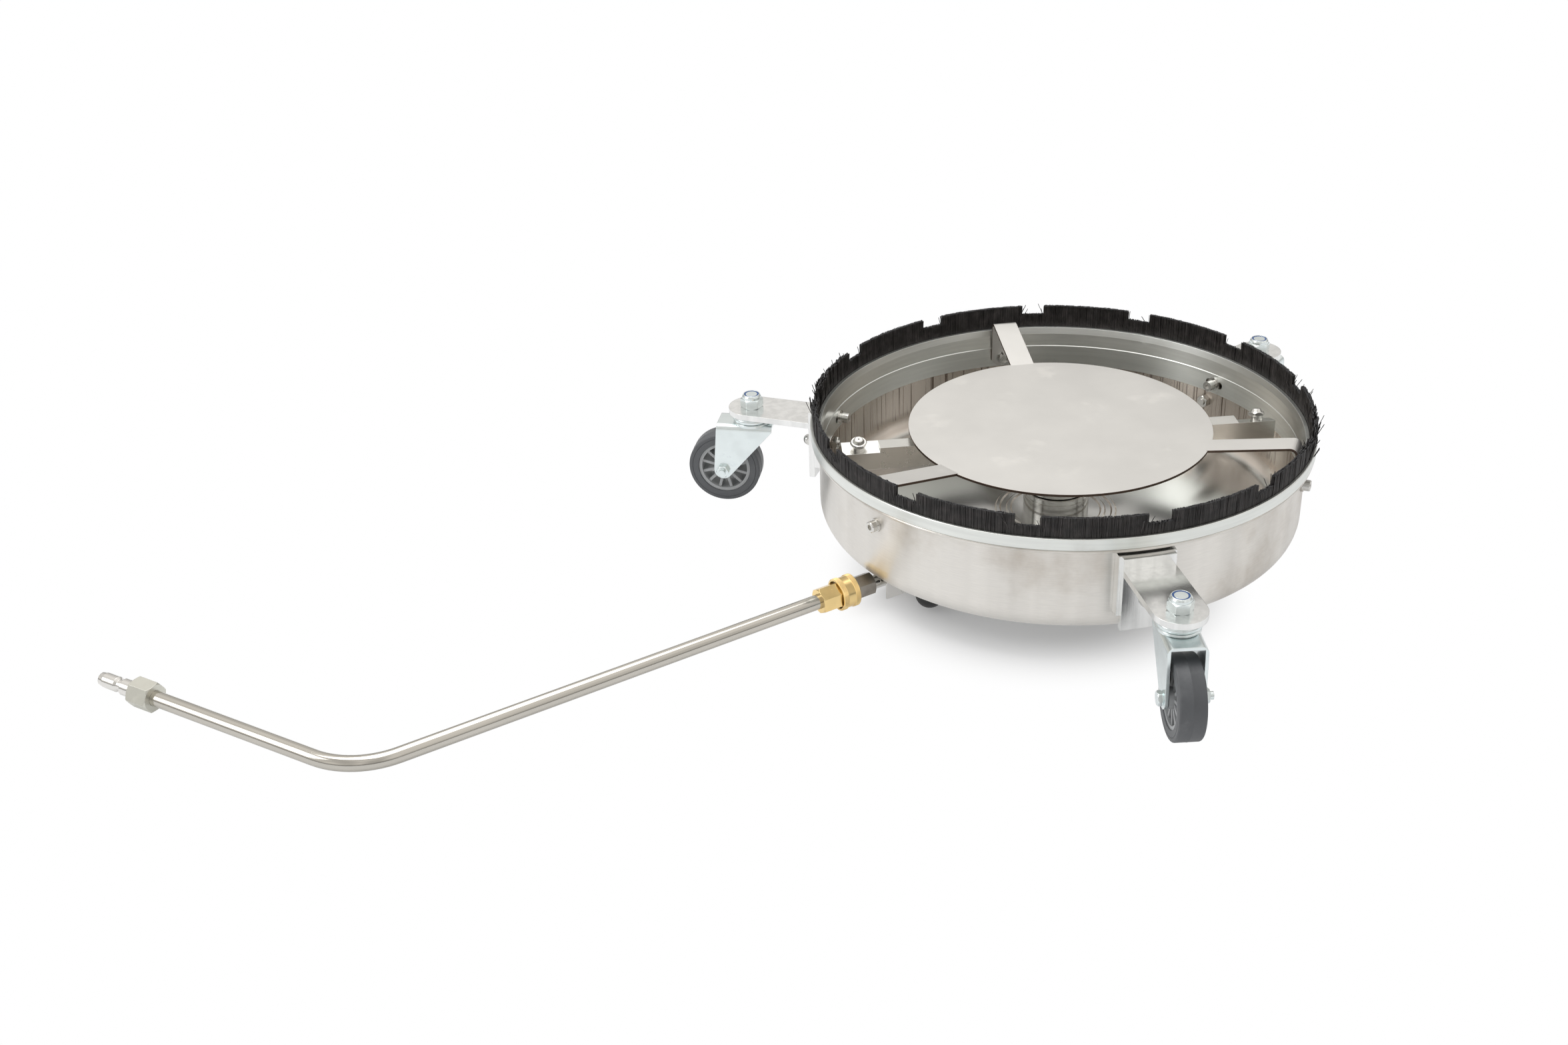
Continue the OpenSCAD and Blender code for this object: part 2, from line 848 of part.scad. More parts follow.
module shaft_seal() {
    color("#26282b")
        translate([0, 0, seal_z])
            tube(seal_r, shaft_r + run_gap, seal_h);
}

// ---------- rotor ----------

module turned_to_rest() {
    rotate([0, 0, rotor_rest])
        children();
}

module rotor_shaft() {
    color("#bdbdb8")
        difference() {
            union() {
                translate([0, 0, shaft_low_z])
                    cylinder(h = arm_low_z - 0.4 - shaft_low_z, r = shaft_r);
                // shoulder between the upper bearing and the rotor hub
                translate([0, 0, bearing_high_z + bearing_w])
                    cylinder(h = hub_low_z - bearing_high_z - bearing_w, r = shoulder_r);
            }
            translate([0, 0, shaft_low_z - 1])
                cylinder(h = 100, r = shaft_bore_r);
            translate([0, 0, circlip_z - 0.05])
                tube(shaft_r + 1, shaft_r - 0.6, circlip_t + 0.1);
        }
}

module shaft_circlip() {
    color("#55585c")
        translate([0, 0, circlip_z])
            difference() {
                tube(shaft_r + 1.6, shaft_r - 0.55, circlip_t);
                translate([0, -1.5, -1])
                    cube([shaft_r + 3, 3, circlip_t + 2]);
            }
}

module rotor_hub() {
    color("#b9b8b3")
        turned_to_rest()
            difference() {
                union() {
                    translate([0, 0, hub_low_z])
                        cylinder(h = 1, r1 = drum_r - 1, r2 = drum_r);
                    translate([0, 0, hub_low_z + 1])
                        cylinder(h = drum_h - 2, r = drum_r);
                    translate([0, 0, hub_low_z + drum_h - 1])
                        cylinder(h = 1, r1 = drum_r, r2 = drum_r - 1);
                    translate([0, 0, hub_low_z + drum_h - 1])
                        cylinder(h = arm_low_z - hub_low_z - drum_h + 0.8, r = hub_body_r);
                    translate([-hub_block_len / 2, -hub_block_w / 2, arm_low_z - 0.2])
                        cube([hub_block_len, hub_block_w, arm_h - arm_t + 0.2]);
                }
                translate([0, 0, hub_low_z - 1])
                    cylinder(h = arm_low_z - 0.3 - hub_low_z + 1, r = shaft_r + seat_gap);
                translate([0, 0, hub_low_z])
                    cylinder(h = spray_z - hub_low_z, r = shaft_bore_r);
                translate([-hub_block_len, 0, spray_z])
                    rotate([0, 90, 0])
                        cylinder(h = 2 * hub_block_len, r = spray_pipe_r - 1);
                for (side = [-1, 1]) {
                    translate([side * (hub_block_len / 2 - 8), 0, spray_z])
                        rotate([0, side * 90, 0])
                            cylinder(h = 20, r = spray_pipe_r + seat_gap);
                    translate([side * 12, 0, arm_top_z - arm_t - 4.8])
                        cylinder(h = 10, r = 2 + seat_gap);
                }
            }
}

// Cross section of the channel, open below, y across and z up
module channel_section() {
    difference() {
        translate([-arm_w / 2, arm_low_z])
            square([arm_w, arm_h]);
        translate([-arm_w / 2 + arm_t, arm_low_z - 1])
            square([arm_w - 2 * arm_t, arm_h - arm_t + 1]);
    }
}

// Cross section of an end: its flange falls by arm_drop towards +y
module tilted_section() {
    polygon([
        [-arm_w / 2, arm_low_z],
        [-arm_w / 2, arm_top_z],
        [arm_w / 2, arm_top_z - arm_drop],
        [arm_w / 2, arm_low_z],
        [arm_w / 2 - arm_t, arm_low_z],
        [arm_w / 2 - arm_t, arm_top_z - arm_t - arm_drop + arm_t * sin(nozzle_tilt)],
        [-arm_w / 2 + arm_t, arm_top_z - arm_t - arm_t * sin(nozzle_tilt)],
        [-arm_w / 2 + arm_t, arm_low_z]
    ]);
}

module rotor_arm() {
    straight = arm_len - 2 * arm_end_len;
    color("#cfcfca")
        turned_to_rest()
            difference() {
                union() {
                    rotate([90, 0, 90])
                        linear_extrude(height = straight, center = true)
                            channel_section();
                    for (end = [0, 180])
                        rotate([0, 0, end])
                            translate([straight / 2, 0, 0])
                                rotate([90, 0, 90])
                                    linear_extrude(height = arm_end_len)
                                        tilted_section();
                }
                for (side = [-1, 1])
                    translate([side * 12, 0, arm_top_z - 5])
                        cylinder(h = 10, r = 2 + fit_gap);
                each_nozzle()
                    translate([0, 0, -6])
                        cylinder(h = 20, r = 3 + fit_gap);
            }
}

module rotor_arm_screws() {
    color("silver")
        turned_to_rest()
            for (side = [-1, 1])
                translate([side * 12, 0, arm_top_z])
                    button_screw(2, arm_t + 4, 3.8, 2.2);
}

// Local z = 0 is the top face of the tilted flange, under a nozzle
module each_nozzle() {
    for (end = [0, 180])
        rotate([0, 0, end])
            translate([nozzle_circle_r, 0, nozzle_pitch_z])
                rotate([-nozzle_tilt, 0, 0])
                    children();
}

module spray_pipes() {
    start = hub_block_len / 2 - 7.8;
    color("#c6c6c1")
        turned_to_rest()
            for (end = [0, 180])
                rotate([0, 0, end])
                    translate([start, 0, spray_z])
                        rotate([0, 90, 0])
                            tube(spray_pipe_r, spray_pipe_r - 1, pipe_end_x - start);
}

// Elbow under the flange, from the spray pipe into the nozzle
module nozzle_sockets() {
    top_z = arm_top_z - arm_drop - arm_t - 0.3;
    color("#a9a9a4")
        turned_to_rest()
            difference() {
                for (end = [0, 180])
                    rotate([0, 0, end])
                        translate([nozzle_circle_r, 0, arm_low_z + 0.6])
                            cylinder(h = top_z - arm_low_z - 0.6, r = socket_r);
                for (end = [0, 180])
                    rotate([0, 0, end])
                        translate([0, 0, spray_z])
                            rotate([0, 90, 0])
                                cylinder(h = nozzle_circle_r, r = spray_pipe_r + seat_gap);
                each_nozzle()
                    translate([0, 0, -shank_len - 0.1])
                        cylinder(h = 20, r = 3 + seat_gap);
            }
}

module spray_nozzles() {
    hex_z = nozzle_foot_h + 0.05;
    cone_z = hex_z + nozzle_hex_h;
    cone_h = nozzle_h - cone_z;
    color("#cbc8bf")
        turned_to_rest()
            each_nozzle()
                difference() {
                    union() {
                        translate([0, 0, -shank_len])
                            cylinder(h = shank_len + 1, r = 3);
                        translate([0, 0, 0.05])
                            cylinder(h = nozzle_foot_h, r = nozzle_foot_r);
                        translate([0, 0, hex_z])
                            turned_hex(nozzle_hex_af, nozzle_hex_h);
                        translate([0, 0, cone_z])
                            cylinder(h = cone_h - 0.5, r1 = nozzle_foot_r, r2 = 3.6);
                        translate([0, 0, nozzle_h - 0.5])
                            cylinder(h = 0.5, r1 = 3.6, r2 = 2.9);
                    }
                    translate([0, 0, -7])
                        cylinder(h = 12, r = 1.6);
                    translate([0, 0, 4.9])
                        cylinder(h = 10, r = 0.6);
                }
}

// ---------- inlet ----------

module inlet_pipe() {
    color("#b8b7b2")
        on_lance_axis(pipe_start + 0.1)
            tube(pipe_r, pipe_bore_r, adapter_start + adapter_socket - pipe_start - 0.2);
}

module each_saddle_screw() {
    for (side = [-1, 1])
        translate([-saddle_mid, side * (saddle_gap / 2 + saddle_t + 5), dish_z - saddle_t])
            children();
}

// Sheet metal stirrup over the inlet pipe, with a lug on each side
module inlet_saddle() {
    out_w = saddle_gap + 2 * saddle_t;
    lug_w = 10;
    color("#dcdcd8")
        difference() {
            translate([-saddle_mid, 0, 0])
                rotate([90, 0, 90])
                    linear_extrude(height = saddle_len, center = true)
                        union() {
                            translate([-out_w / 2 - lug_w, dish_z - saddle_t])
                                square([out_w + 2 * lug_w, saddle_t]);
                            for (side = [-1, 1])
                                translate([side * (saddle_gap + saddle_t) / 2 - saddle_t / 2, saddle_z])
                                    square([saddle_t, dish_z - saddle_z - saddle_t / 2]);
                        }
            each_saddle_screw()
                cylinder(h = 30, r = saddle_screw_r + fit_gap, center = true);
            translate([-saddle_mid, 0, saddle_z + 4])
                rotate([90, 0, 0])
                    cylinder(h = 3 * saddle_gap, r = 2 + fit_gap, center = true);
        }
}

// Two lug screws from below and the long screw that closes the stirrup
module saddle_screws() {
    color("silver") {
        each_saddle_screw()
            rotate([180, 0, 0])
                button_screw(saddle_screw_r, saddle_t + dish_t + 5, 3.8, 2.2);
        each_saddle_screw()
            translate([0, 0, saddle_t + dish_t + 0.05])
                plain_nut(7, 3.2, saddle_screw_r + seat_gap);
        translate([-saddle_mid, -saddle_gap / 2 - saddle_t, saddle_z + 4])
            rotate([90, 0, 0])
                button_screw(2, saddle_gap + 2 * saddle_t + 4, 3.5, 2);
    }
}

module inlet_adapter() {
    color("#6f6d69")
        on_lance_axis(adapter_start)
            difference() {
                turned_hex(adapter_af, adapter_len);
                translate([0, 0, -1])
                    cylinder(h = adapter_socket + 1, r = pipe_r + seat_gap);
                translate([0, 0, -1])
                    cylinder(h = adapter_len + 2, r = pipe_bore_r);
                translate([0, 0, adapter_len - 4.5])
                    cylinder(h = 10, r = 4.5 + seat_gap);
            }
}

// The fixed nose of the quick connect, on which the coupler turns
module coupler_nipple() {
    color("#c9c7c0")
        on_lance_axis()
            difference() {
                union() {
                    translate([0, 0, adapter_end - 4.4])
                        cylinder(h = 4.4, r = 4.5);
                    translate([0, 0, adapter_end])
                        cylinder(h = 2, r = nipple_collar_r);
                    translate([0, 0, adapter_end + 2])
                        cylinder(h = nose_end - adapter_end - 4, r = nose_r);
                    translate([0, 0, nose_end - 2])
                        cylinder(h = 2, r1 = nose_r, r2 = nose_r - 1);
                }
                translate([0, 0, adapter_end - 10])
                    cylinder(h = 60, r = 2.5);
                lock_track();
            }
}

module lock_track() {
    rotate_extrude()
        translate([lock_ball_at, lock_z])
            circle(r = lock_ball_r + 0.1);
}

module each_lock_ball() {
    for (i = [0 : lock_count - 1])
        rotate([0, 0, i * 360 / lock_count])
            translate([lock_ball_at, 0, lock_z])
                children();
}

module coupler_body() {
    color("goldenrod")
        on_lance_axis()
            difference() {
                union() {
                    translate([0, 0, coupler_start])
                        cylinder(h = hex_start - coupler_start, r = coupler_r);
                    translate([0, 0, hex_start])
                        turned_hex(coupler_af, coupler_hex_len);
                }
                translate([0, 0, coupler_start - 1])
                    cylinder(h = nose_end - coupler_start + 1.5, r = nose_r + run_gap);
                translate([0, 0, coupler_start])
                    cylinder(h = hex_end - coupler_start + 1, r = 3);
                translate([0, 0, tube_start - 0.1])
                    cylinder(h = hex_end - tube_start + 1, r = lance_r + seat_gap);
                translate([0, 0, seal_at])
                    cylinder(h = 2 * seal_wire_r + 0.2, r = nose_r + 0.1 + 2 * seal_wire_r + 0.1);
                each_lock_ball()
                    rotate([0, 90, 0])
                        cylinder(h = 10, r = lock_ball_r + 0.1, center = true);
            }
}

module coupler_sleeve() {
    ring_w = sleeve_len * 0.3;
    color("gold")
        on_lance_axis(sleeve_start)
            difference() {
                union() {
                    cylinder(h = sleeve_len, r = sleeve_r - 0.8);
                    for (z = [0, sleeve_len - ring_w])
                        translate([0, 0, z]) {
                            cylinder(h = 0.8, r1 = sleeve_r - 0.8, r2 = sleeve_r);
                            translate([0, 0, 0.8])
                                cylinder(h = ring_w - 1.6, r = sleeve_r);
                            translate([0, 0, ring_w - 0.8])
                                cylinder(h = 0.8, r1 = sleeve_r, r2 = sleeve_r - 0.8);
                        }
                }
                translate([0, 0, -1])
                    cylinder(h = sleeve_len + 2, r = coupler_r + run_gap);
                translate([0, 0, sleeve_web])
                    cylinder(h = sleeve_len, r = sleeve_cavity_r);
            }
}

module coupler_balls() {
    color("white")
        on_lance_axis()
            each_lock_ball()
                sphere(r = lock_ball_r, $fn = 24);
}

// Helix of round wire: ring i of the sweep, point j round the wire
function spring_point(i, j, steps, sides, z0, rise) =
    let (turn = i * 360 / steps, side = j * 360 / sides,
        r = spring_r + spring_wire_r * cos(side))
    [r * cos(turn), r * sin(turn), z0 + rise * i + spring_wire_r * sin(side)];

module coupler_spring() {
    steps = 20;
    sides = 8;
    rings = steps * spring_turns;
    rise = (spring_end - spring_start) / rings;
    color("slategray")
        on_lance_axis()
            polyhedron(
                points = [for (i = [0 : rings], j = [0 : sides - 1])
                    spring_point(i, j, steps, sides, spring_start, rise)],
                faces = concat(
                    [[for (j = [0 : sides - 1]) j]],
                    [[for (j = [sides - 1 : -1 : 0]) rings * sides + j]],
                    [for (i = [0 : rings - 1], j = [0 : sides - 1])
                        [i * sides + j, (i + 1) * sides + j,
                            (i + 1) * sides + (j + 1) % sides]],
                    [for (i = [0 : rings - 1], j = [0 : sides - 1])
                        [i * sides + j, (i + 1) * sides + (j + 1) % sides,
                            i * sides + (j + 1) % sides]]));
}

module coupler_seal() {
    color("#26282b")
        on_lance_axis()
            rotate_extrude()
                translate([nose_r + 0.1 + seal_wire_r, seal_at + seal_wire_r + 0.1])
                    circle(r = seal_wire_r, $fn = 24);
}

// ---------- lance ----------

// Straight run, bend and short leg: the bend reaches a little into both runs
module lance_tube() {
    bore_r = lance_r - lance_t;
    lap = 0.5;
    lap_gap = 0.02;
    color("#c4c2bb")
        union() {
            on_lance_axis(tube_start)
                tube(lance_r, bore_r, lance_reach - bend_tangent - tube_start);
            on_lance_axis(lance_reach - bend_tangent)
                rotate([0, 0, -lance_roll])
                    translate([0, lance_bend_r, 0])
                        rotate([0, -90, 0])
                            rotate([0, 0, -90 - lap])
                                rotate_extrude(angle = lance_bend + 2 * lap)
                                    translate([lance_bend_r, 0])
                                        difference() {
                                            circle(r = lance_r - lap_gap);
                                            circle(r = bore_r + lap_gap);
                                        }
            on_short_leg(bend_tangent)
                tube(lance_r, bore_r, nut_end - 9 - bend_tangent);
        }
}

module lance_nut() {
    color("#b2b1a9")
        on_short_leg(nut_start)
            rotate([0, 0, 30])
                difference() {
                    turned_hex(lance_nut_af, lance_nut_len);
                    translate([0, 0, -1])
                        cylinder(h = lance_nut_len + 2, r = lance_r + seat_gap);
                }
}

module quick_plug() {
    color("#c2c0b9")
        on_short_leg(nut_end)
            difference() {
                union() {
                    translate([0, 0, -8])
                        cylinder(h = 8, r = lance_r);
                    cylinder(h = plug_collar_len, r = plug_r + 0.6);
                    translate([0, 0, plug_collar_len])
                        cylinder(h = plug_neck_end - plug_collar_len, r = plug_neck_r);
                    translate([0, 0, plug_neck_end])
                        cylinder(h = plug_nose_start - plug_neck_end, r1 = plug_neck_r, r2 = plug_r);
                    translate([0, 0, plug_nose_start])
                        cylinder(h = plug_nose_end - plug_nose_start, r = plug_r);
                    translate([0, 0, plug_nose_end])
                        cylinder(h = plug_len - plug_nose_end, r1 = plug_r, r2 = plug_r - 0.8);
                }
                translate([0, 0, -9])
                    cylinder(h = plug_len + 20, r = 3);
            }
}

// ---------- feet ----------

module rubber_feet() {
    dome_z = foot_clear + foot_r;
    color("#1f2022")
        for (k = [0 : 2])
            at_bearing(foot_start + 120 * k, foot_circle_r, 0)
                union() {
                    translate([0, 0, dish_z - foot_base_h])
                        cylinder(h = foot_base_h, r = foot_base_r);
                    translate([0, 0, dome_z])
                        cylinder(h = dish_z - 1 - dome_z, r = foot_r);
                    intersection() {
                        translate([0, 0, dome_z])
                            sphere(r = foot_r);
                        translate([0, 0, dome_z - 2 * foot_r])
                            cylinder(h = 2 * foot_r, r = foot_r + 1);
                    }
                }
}

// ---------- castor brackets ----------

// A T of plate: the upright stands on the spacer, the shelf carries the stem
module caster_bracket(k) {
    color("#e2e2e0")
        difference() {
            rotate([0, 0, caster_start + 120 * k])
                union() {
                    translate([bracket_x - bracket_t, -bracket_w / 2, bracket_top_z - bracket_h])
                        cube([bracket_t, bracket_w, bracket_h]);
                    translate([bracket_x - 1, -bracket_w / 2, plate_z])
                        cube([stem_circle_r - bracket_x + 1, bracket_w, bracket_t]);
                    translate([stem_circle_r, 0, plate_z])
                        cylinder(h = bracket_t, r = bracket_w / 2);
                }
            each_bracket_bolt()
                translate([0, 0, bracket_x - 20])
                    cylinder(h = 40, r = bolt_r + fit_gap);
            at_caster(k)
                cylinder(h = 200, r = stem_r + fit_gap);
        }
}
module caster_bracket_a() { caster_bracket(0); }
module caster_bracket_b() { caster_bracket(1); }
module caster_bracket_c() { caster_bracket(2); }

// Blocks that stand the brackets off the round wall, below the rolled rim
module bracket_spacers() {
    color("#c9c9c4")
        for (k = [0 : 2])
            difference() {
                rotate([0, 0, caster_start + 120 * k])
                    translate([dish_r - 8, -bracket_w / 2 - 2, bracket_top_z - spacer_h])
                        cube([bracket_stand - bracket_t + 8, bracket_w + 4, spacer_h]);
                cylinder(h = 200, r = dish_r + seat_gap, $fn = 96);
                each_bracket_bolt()
                    translate([0, 0, dish_r - 20])
                        cylinder(h = 60, r = bolt_r + fit_gap);
                each_ring_screw()
                    translate([0, 0, dish_r - 10])
                        cylinder(h = 40, r = screw_head_r + 1.6);
            }
}

module bracket_bolts() {
    bracket_len = bracket_washer_t + bracket_x - bracket_nut_x + bracket_nut_h + 1.5;
    color("silver")
        each_bracket_bolt()
            translate([0, 0, bracket_x + bracket_washer_t])
                union() {
                    turned_hex(bracket_head_af, bracket_head_h);
                    translate([0, 0, bracket_head_h - 0.5])
                        dome(bracket_dome_r, bracket_dome_h + 0.5);
                    translate([0, 0, -bracket_len])
                        cylinder(h = bracket_len + 1, r = bolt_r);
                    translate([0, 0, -bracket_washer_t])
                        tube(7, bolt_r, bracket_washer_t);
                }
}

module bracket_nuts() {
    color("silver")
        each_bracket_bolt()
            translate([0, 0, bracket_nut_x - bracket_nut_h])
                plain_nut(bracket_nut_af, bracket_nut_h, bolt_r + seat_gap);
}

// ---------- castors ----------

// Pressed cap that turns nothing itself: the balls run between it and the fork
module swivel_races() {
    skirt_low = fork_top_z + 0.6;
    disc_z = fork_top_z + 2 * race_ball_r + 0.2;
    crown_low = plate_z - race_h * 0.4;
    color("#b9c3c6")
        for (k = [0 : 2])
            at_caster(k)
                difference() {
                    union() {
                        translate([0, 0, skirt_low])
                            cylinder(h = 1, r1 = race_r - 0.7, r2 = race_r);
                        translate([0, 0, skirt_low + 1])
                            cylinder(h = crown_low - skirt_low - 1, r = race_r);
                        translate([0, 0, crown_low])
                            cylinder(h = race_h * 0.2, r1 = race_r, r2 = race_r - race_h * 0.09);
                        translate([0, 0, crown_low + race_h * 0.2])
                            cylinder(h = race_h * 0.2, r1 = race_r - race_h * 0.09, r2 = race_r - race_h * 0.36);
                    }
                    translate([0, 0, skirt_low - 1])
                        cylinder(h = disc_z - skirt_low + 1, r = race_r - 1.6);
                    cylinder(h = 200, r = stem_r + fit_gap);
                    translate([0, 0, skirt_low + 1.9])
                        difference() {
                            cylinder(h = 0.6, r = race_r + 1);
                            cylinder(h = 0.6, r = race_r - 0.4);
                        }
                }
}

module stem_bolts() {
    head_top_z = fork_plate_z - fork_t - 0.3;
    color("#c3cbcd")
        for (k = [0 : 2])
            at_caster(k)
                union() {
                    translate([0, 0, head_top_z - stem_head_h])
                        cylinder(h = stem_head_h, r = stem_r + 3.5);
                    translate([0, 0, head_top_z - 0.1])
                        cylinder(h = plate_top_z + stem_nut_h + stem_dome_h - 0.2 - head_top_z + 0.1, r = stem_r);
                }
}

// Lock nuts with the domed collar that holds the nylon ring
module stem_nuts() {
    nut_z = plate_top_z;
    dome_r = stem_nut_af / 2 - 0.4;
    color("#c3cbcd")
        for (k = [0 : 2])
            at_caster(k)
                rotate([0, 0, 20])
                    difference() {
                        union() {
                            translate([0, 0, nut_z])
                                turned_hex(stem_nut_af, stem_nut_h);
                            translate([0, 0, nut_z + stem_nut_h - 1])
                                cylinder(h = stem_dome_h - 0.6, r = dome_r);
                            translate([0, 0, nut_z + stem_nut_h + stem_dome_h - 1.6])
                                cylinder(h = 1.6, r1 = dome_r, r2 = dome_r - 1.1);
                        }
                        cylinder(h = 200, r = stem_r + seat_gap);
                        translate([0, 0, nut_z + stem_nut_h + stem_dome_h - stem_nylon_h])
                            cylinder(h = 2 * stem_nylon_h, r = stem_nylon_r);
                    }
}

// Side view of a fork leg, x along the trail and y up
module leg_outline() {
    hub = [trail, axle_z];
    knee = [7 - fork_back, fork_plate_z - 13];
    front = [fork_front, fork_plate_z];
    back_slope = atan2(axle_z - knee[1], trail - knee[0]) - asin(fork_boss_r / norm(hub - knee));
    front_slope = atan2(axle_z - front[1], trail - front[0]) + asin(fork_boss_r / norm(hub - front));
    polygon(concat(
        [front, [-fork_back, fork_plate_z], [-fork_back, fork_plate_z - 5], knee],
        arc_points(hub, fork_boss_r, back_slope - 90, front_slope + 90, 18)));
}

// Front view of the fork, x across and y up
module fork_section() {
    bend_r = fork_t + 2.5;
    low = axle_z - fork_boss_r - 1;
    half_w = fork_w / 2;
    half_gap = fork_gap / 2;
    polygon(concat(
        [[-half_w, low]],
        arc_points([-half_w + bend_r, fork_plate_z - bend_r], bend_r, 180, 90, 6),
        arc_points([half_w - bend_r, fork_plate_z - bend_r], bend_r, 90, 0, 6),
        [[half_w, low], [half_gap, low], [half_gap, fork_plate_z - fork_t],
            [-half_gap, fork_plate_z - fork_t], [-half_gap, low]]));
}

module fork(k) {
    color("#b4c0c4")
        in_fork(k)
            difference() {
                union() {
                    intersection() {
                        rotate([90, 0, 0])
                            linear_extrude(height = 2 * fork_w, center = true)
                                leg_outline();
                        rotate([90, 0, 90])
                            linear_extrude(height = 200, center = true)
                                fork_section();
                    }
                    translate([0, 0, fork_plate_z - 1.5])
                        cylinder(h = collar_h + 0.9, r = collar_r);
                    translate([0, 0, fork_plate_z + collar_h - 0.6])
                        cylinder(h = 0.6, r1 = collar_r, r2 = collar_r - 0.6);
                }
                translate([0, 0, fork_plate_z - 10])
                    cylinder(h = 40, r = stem_r + run_gap);
                translate([trail, 0, axle_z])
                    rotate([90, 0, 0])
                        cylinder(h = 100, r = axle_r + fit_gap, center = true);
            }
}
module fork_a() { fork(0); }
module fork_b() { fork(1); }
module fork_c() { fork(2); }

module race_balls(k) {
    color("white")
        in_fork(k)
            for (i = [0 : race_ball_count - 1])
                rotate([0, 0, i * 360 / race_ball_count])
                    translate([race_ball_circle, 0, fork_top_z + race_ball_r + 0.05])
                        sphere(r = race_ball_r, $fn = 20);
}
module race_balls_a() { race_balls(0); }
module race_balls_b() { race_balls(1); }
module race_balls_c() { race_balls(2); }

// Axle bolt with its head on the near side and a nut on the far side
module axle(k) {
    side_y = fork_w / 2;
    color("#c3cbcd")
        at_axle(k)
            union() {
                translate([0, 0, side_y])
                    turned_hex(axle_af, axle_head_h);
                translate([0, 0, -side_y - axle_head_h - 3])
                    cylinder(h = 2 * side_y + axle_head_h + 4, r = axle_r);
                translate([0, 0, -side_y - axle_head_h])
                    turned_hex(axle_af, axle_head_h);
            }
}
module axle_a() { axle(0); }
module axle_b() { axle(1); }
module axle_c() { axle(2); }

module wheel_hub(k) {
    color("#8d9095")
        at_axle(k)
            difference() {
                union() {
                    translate([0, 0, -hub_w / 2])
                        tube(hub_r, hub_r - hub_rim_t, hub_w);
                    translate([0, 0, -hub_boss_w / 2])
                        cylinder(h = hub_boss_w, r = hub_boss_r);
                    for (i = [0 : spoke_count - 1])
                        rotate([0, 0, (i + 0.5) * 360 / spoke_count])
                            translate([hub_boss_r - 1, -spoke_w / 2, -hub_w / 2 + 1.2])
                                cube([hub_r - hub_rim_t - hub_boss_r + 2, spoke_w, hub_w - 2.4]);
                }
                cylinder(h = 100, r = axle_r + run_gap, center = true);
            }
}
module wheel_hub_a() { wheel_hub(0); }
module wheel_hub_b() { wheel_hub(1); }
module wheel_hub_c() { wheel_hub(2); }

module tyre(k) {
    shoulder = 2.2;
    inner = hub_r + seat_gap;
    color("#4d4f53")
        at_axle(k)
            rotate_extrude($fn = 64)
                union() {
                    translate([inner, -wheel_w / 2])
                        square([wheel_r - shoulder - inner, wheel_w]);
                    translate([inner, -wheel_w / 2 + shoulder])
                        square([wheel_r - inner, wheel_w - 2 * shoulder]);
                    for (side = [-1, 1])
                        translate([wheel_r - shoulder, side * (wheel_w / 2 - shoulder)])
                            circle(r = shoulder);
                }
}
module tyre_a() { tyre(0); }
module tyre_b() { tyre(1); }
module tyre_c() { tyre(2); }

dish_shell();
brush_holder_ring();
brush_strip();
ring_screws();
ring_sleeve_nuts();
guard_plate();
swivel_base();
swivel_housing();
bearing_cap();
swivel_screws();
bearing_outer_rings();
bearing_balls();
bearing_inner_rings();
shaft_seal();
rotor_shaft();
shaft_circlip();
rotor_hub();
rotor_arm();
rotor_arm_screws();
spray_pipes();
nozzle_sockets();
spray_nozzles();
inlet_pipe();
inlet_saddle();
saddle_screws();
inlet_adapter();
coupler_nipple();
coupler_body();
coupler_sleeve();
coupler_balls();
coupler_spring();
coupler_seal();
lance_tube();
lance_nut();
quick_plug();
rubber_feet();
caster_bracket_a();
caster_bracket_b();
caster_bracket_c();
bracket_spacers();
bracket_bolts();
bracket_nuts();
swivel_races();
stem_bolts();
stem_nuts();
fork_a();
fork_b();
fork_c();
race_balls_a();
race_balls_b();
race_balls_c();
axle_a();
axle_b();
axle_c();
wheel_hub_a();
wheel_hub_b();
wheel_hub_c();
tyre_a();
tyre_b();
tyre_c();
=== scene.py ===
# %% [markdown]
# # A surface cleaner, turned over to show its working side
#
# The object is the round hood that a pressure washer drives over paving. Here it lies
# upside down on its casters, so the brush ring, the guard plate and the spinner show.
# Its structure is already modelled as solids, and this lesson dresses those solids:
# it paints every metal, rubber and plastic part, and builds the few pieces that
# solids can't show well, such as thousands of brush filaments and a knurled collar.

import json
import math
import random

import bpy
from mathutils import Matrix, Vector


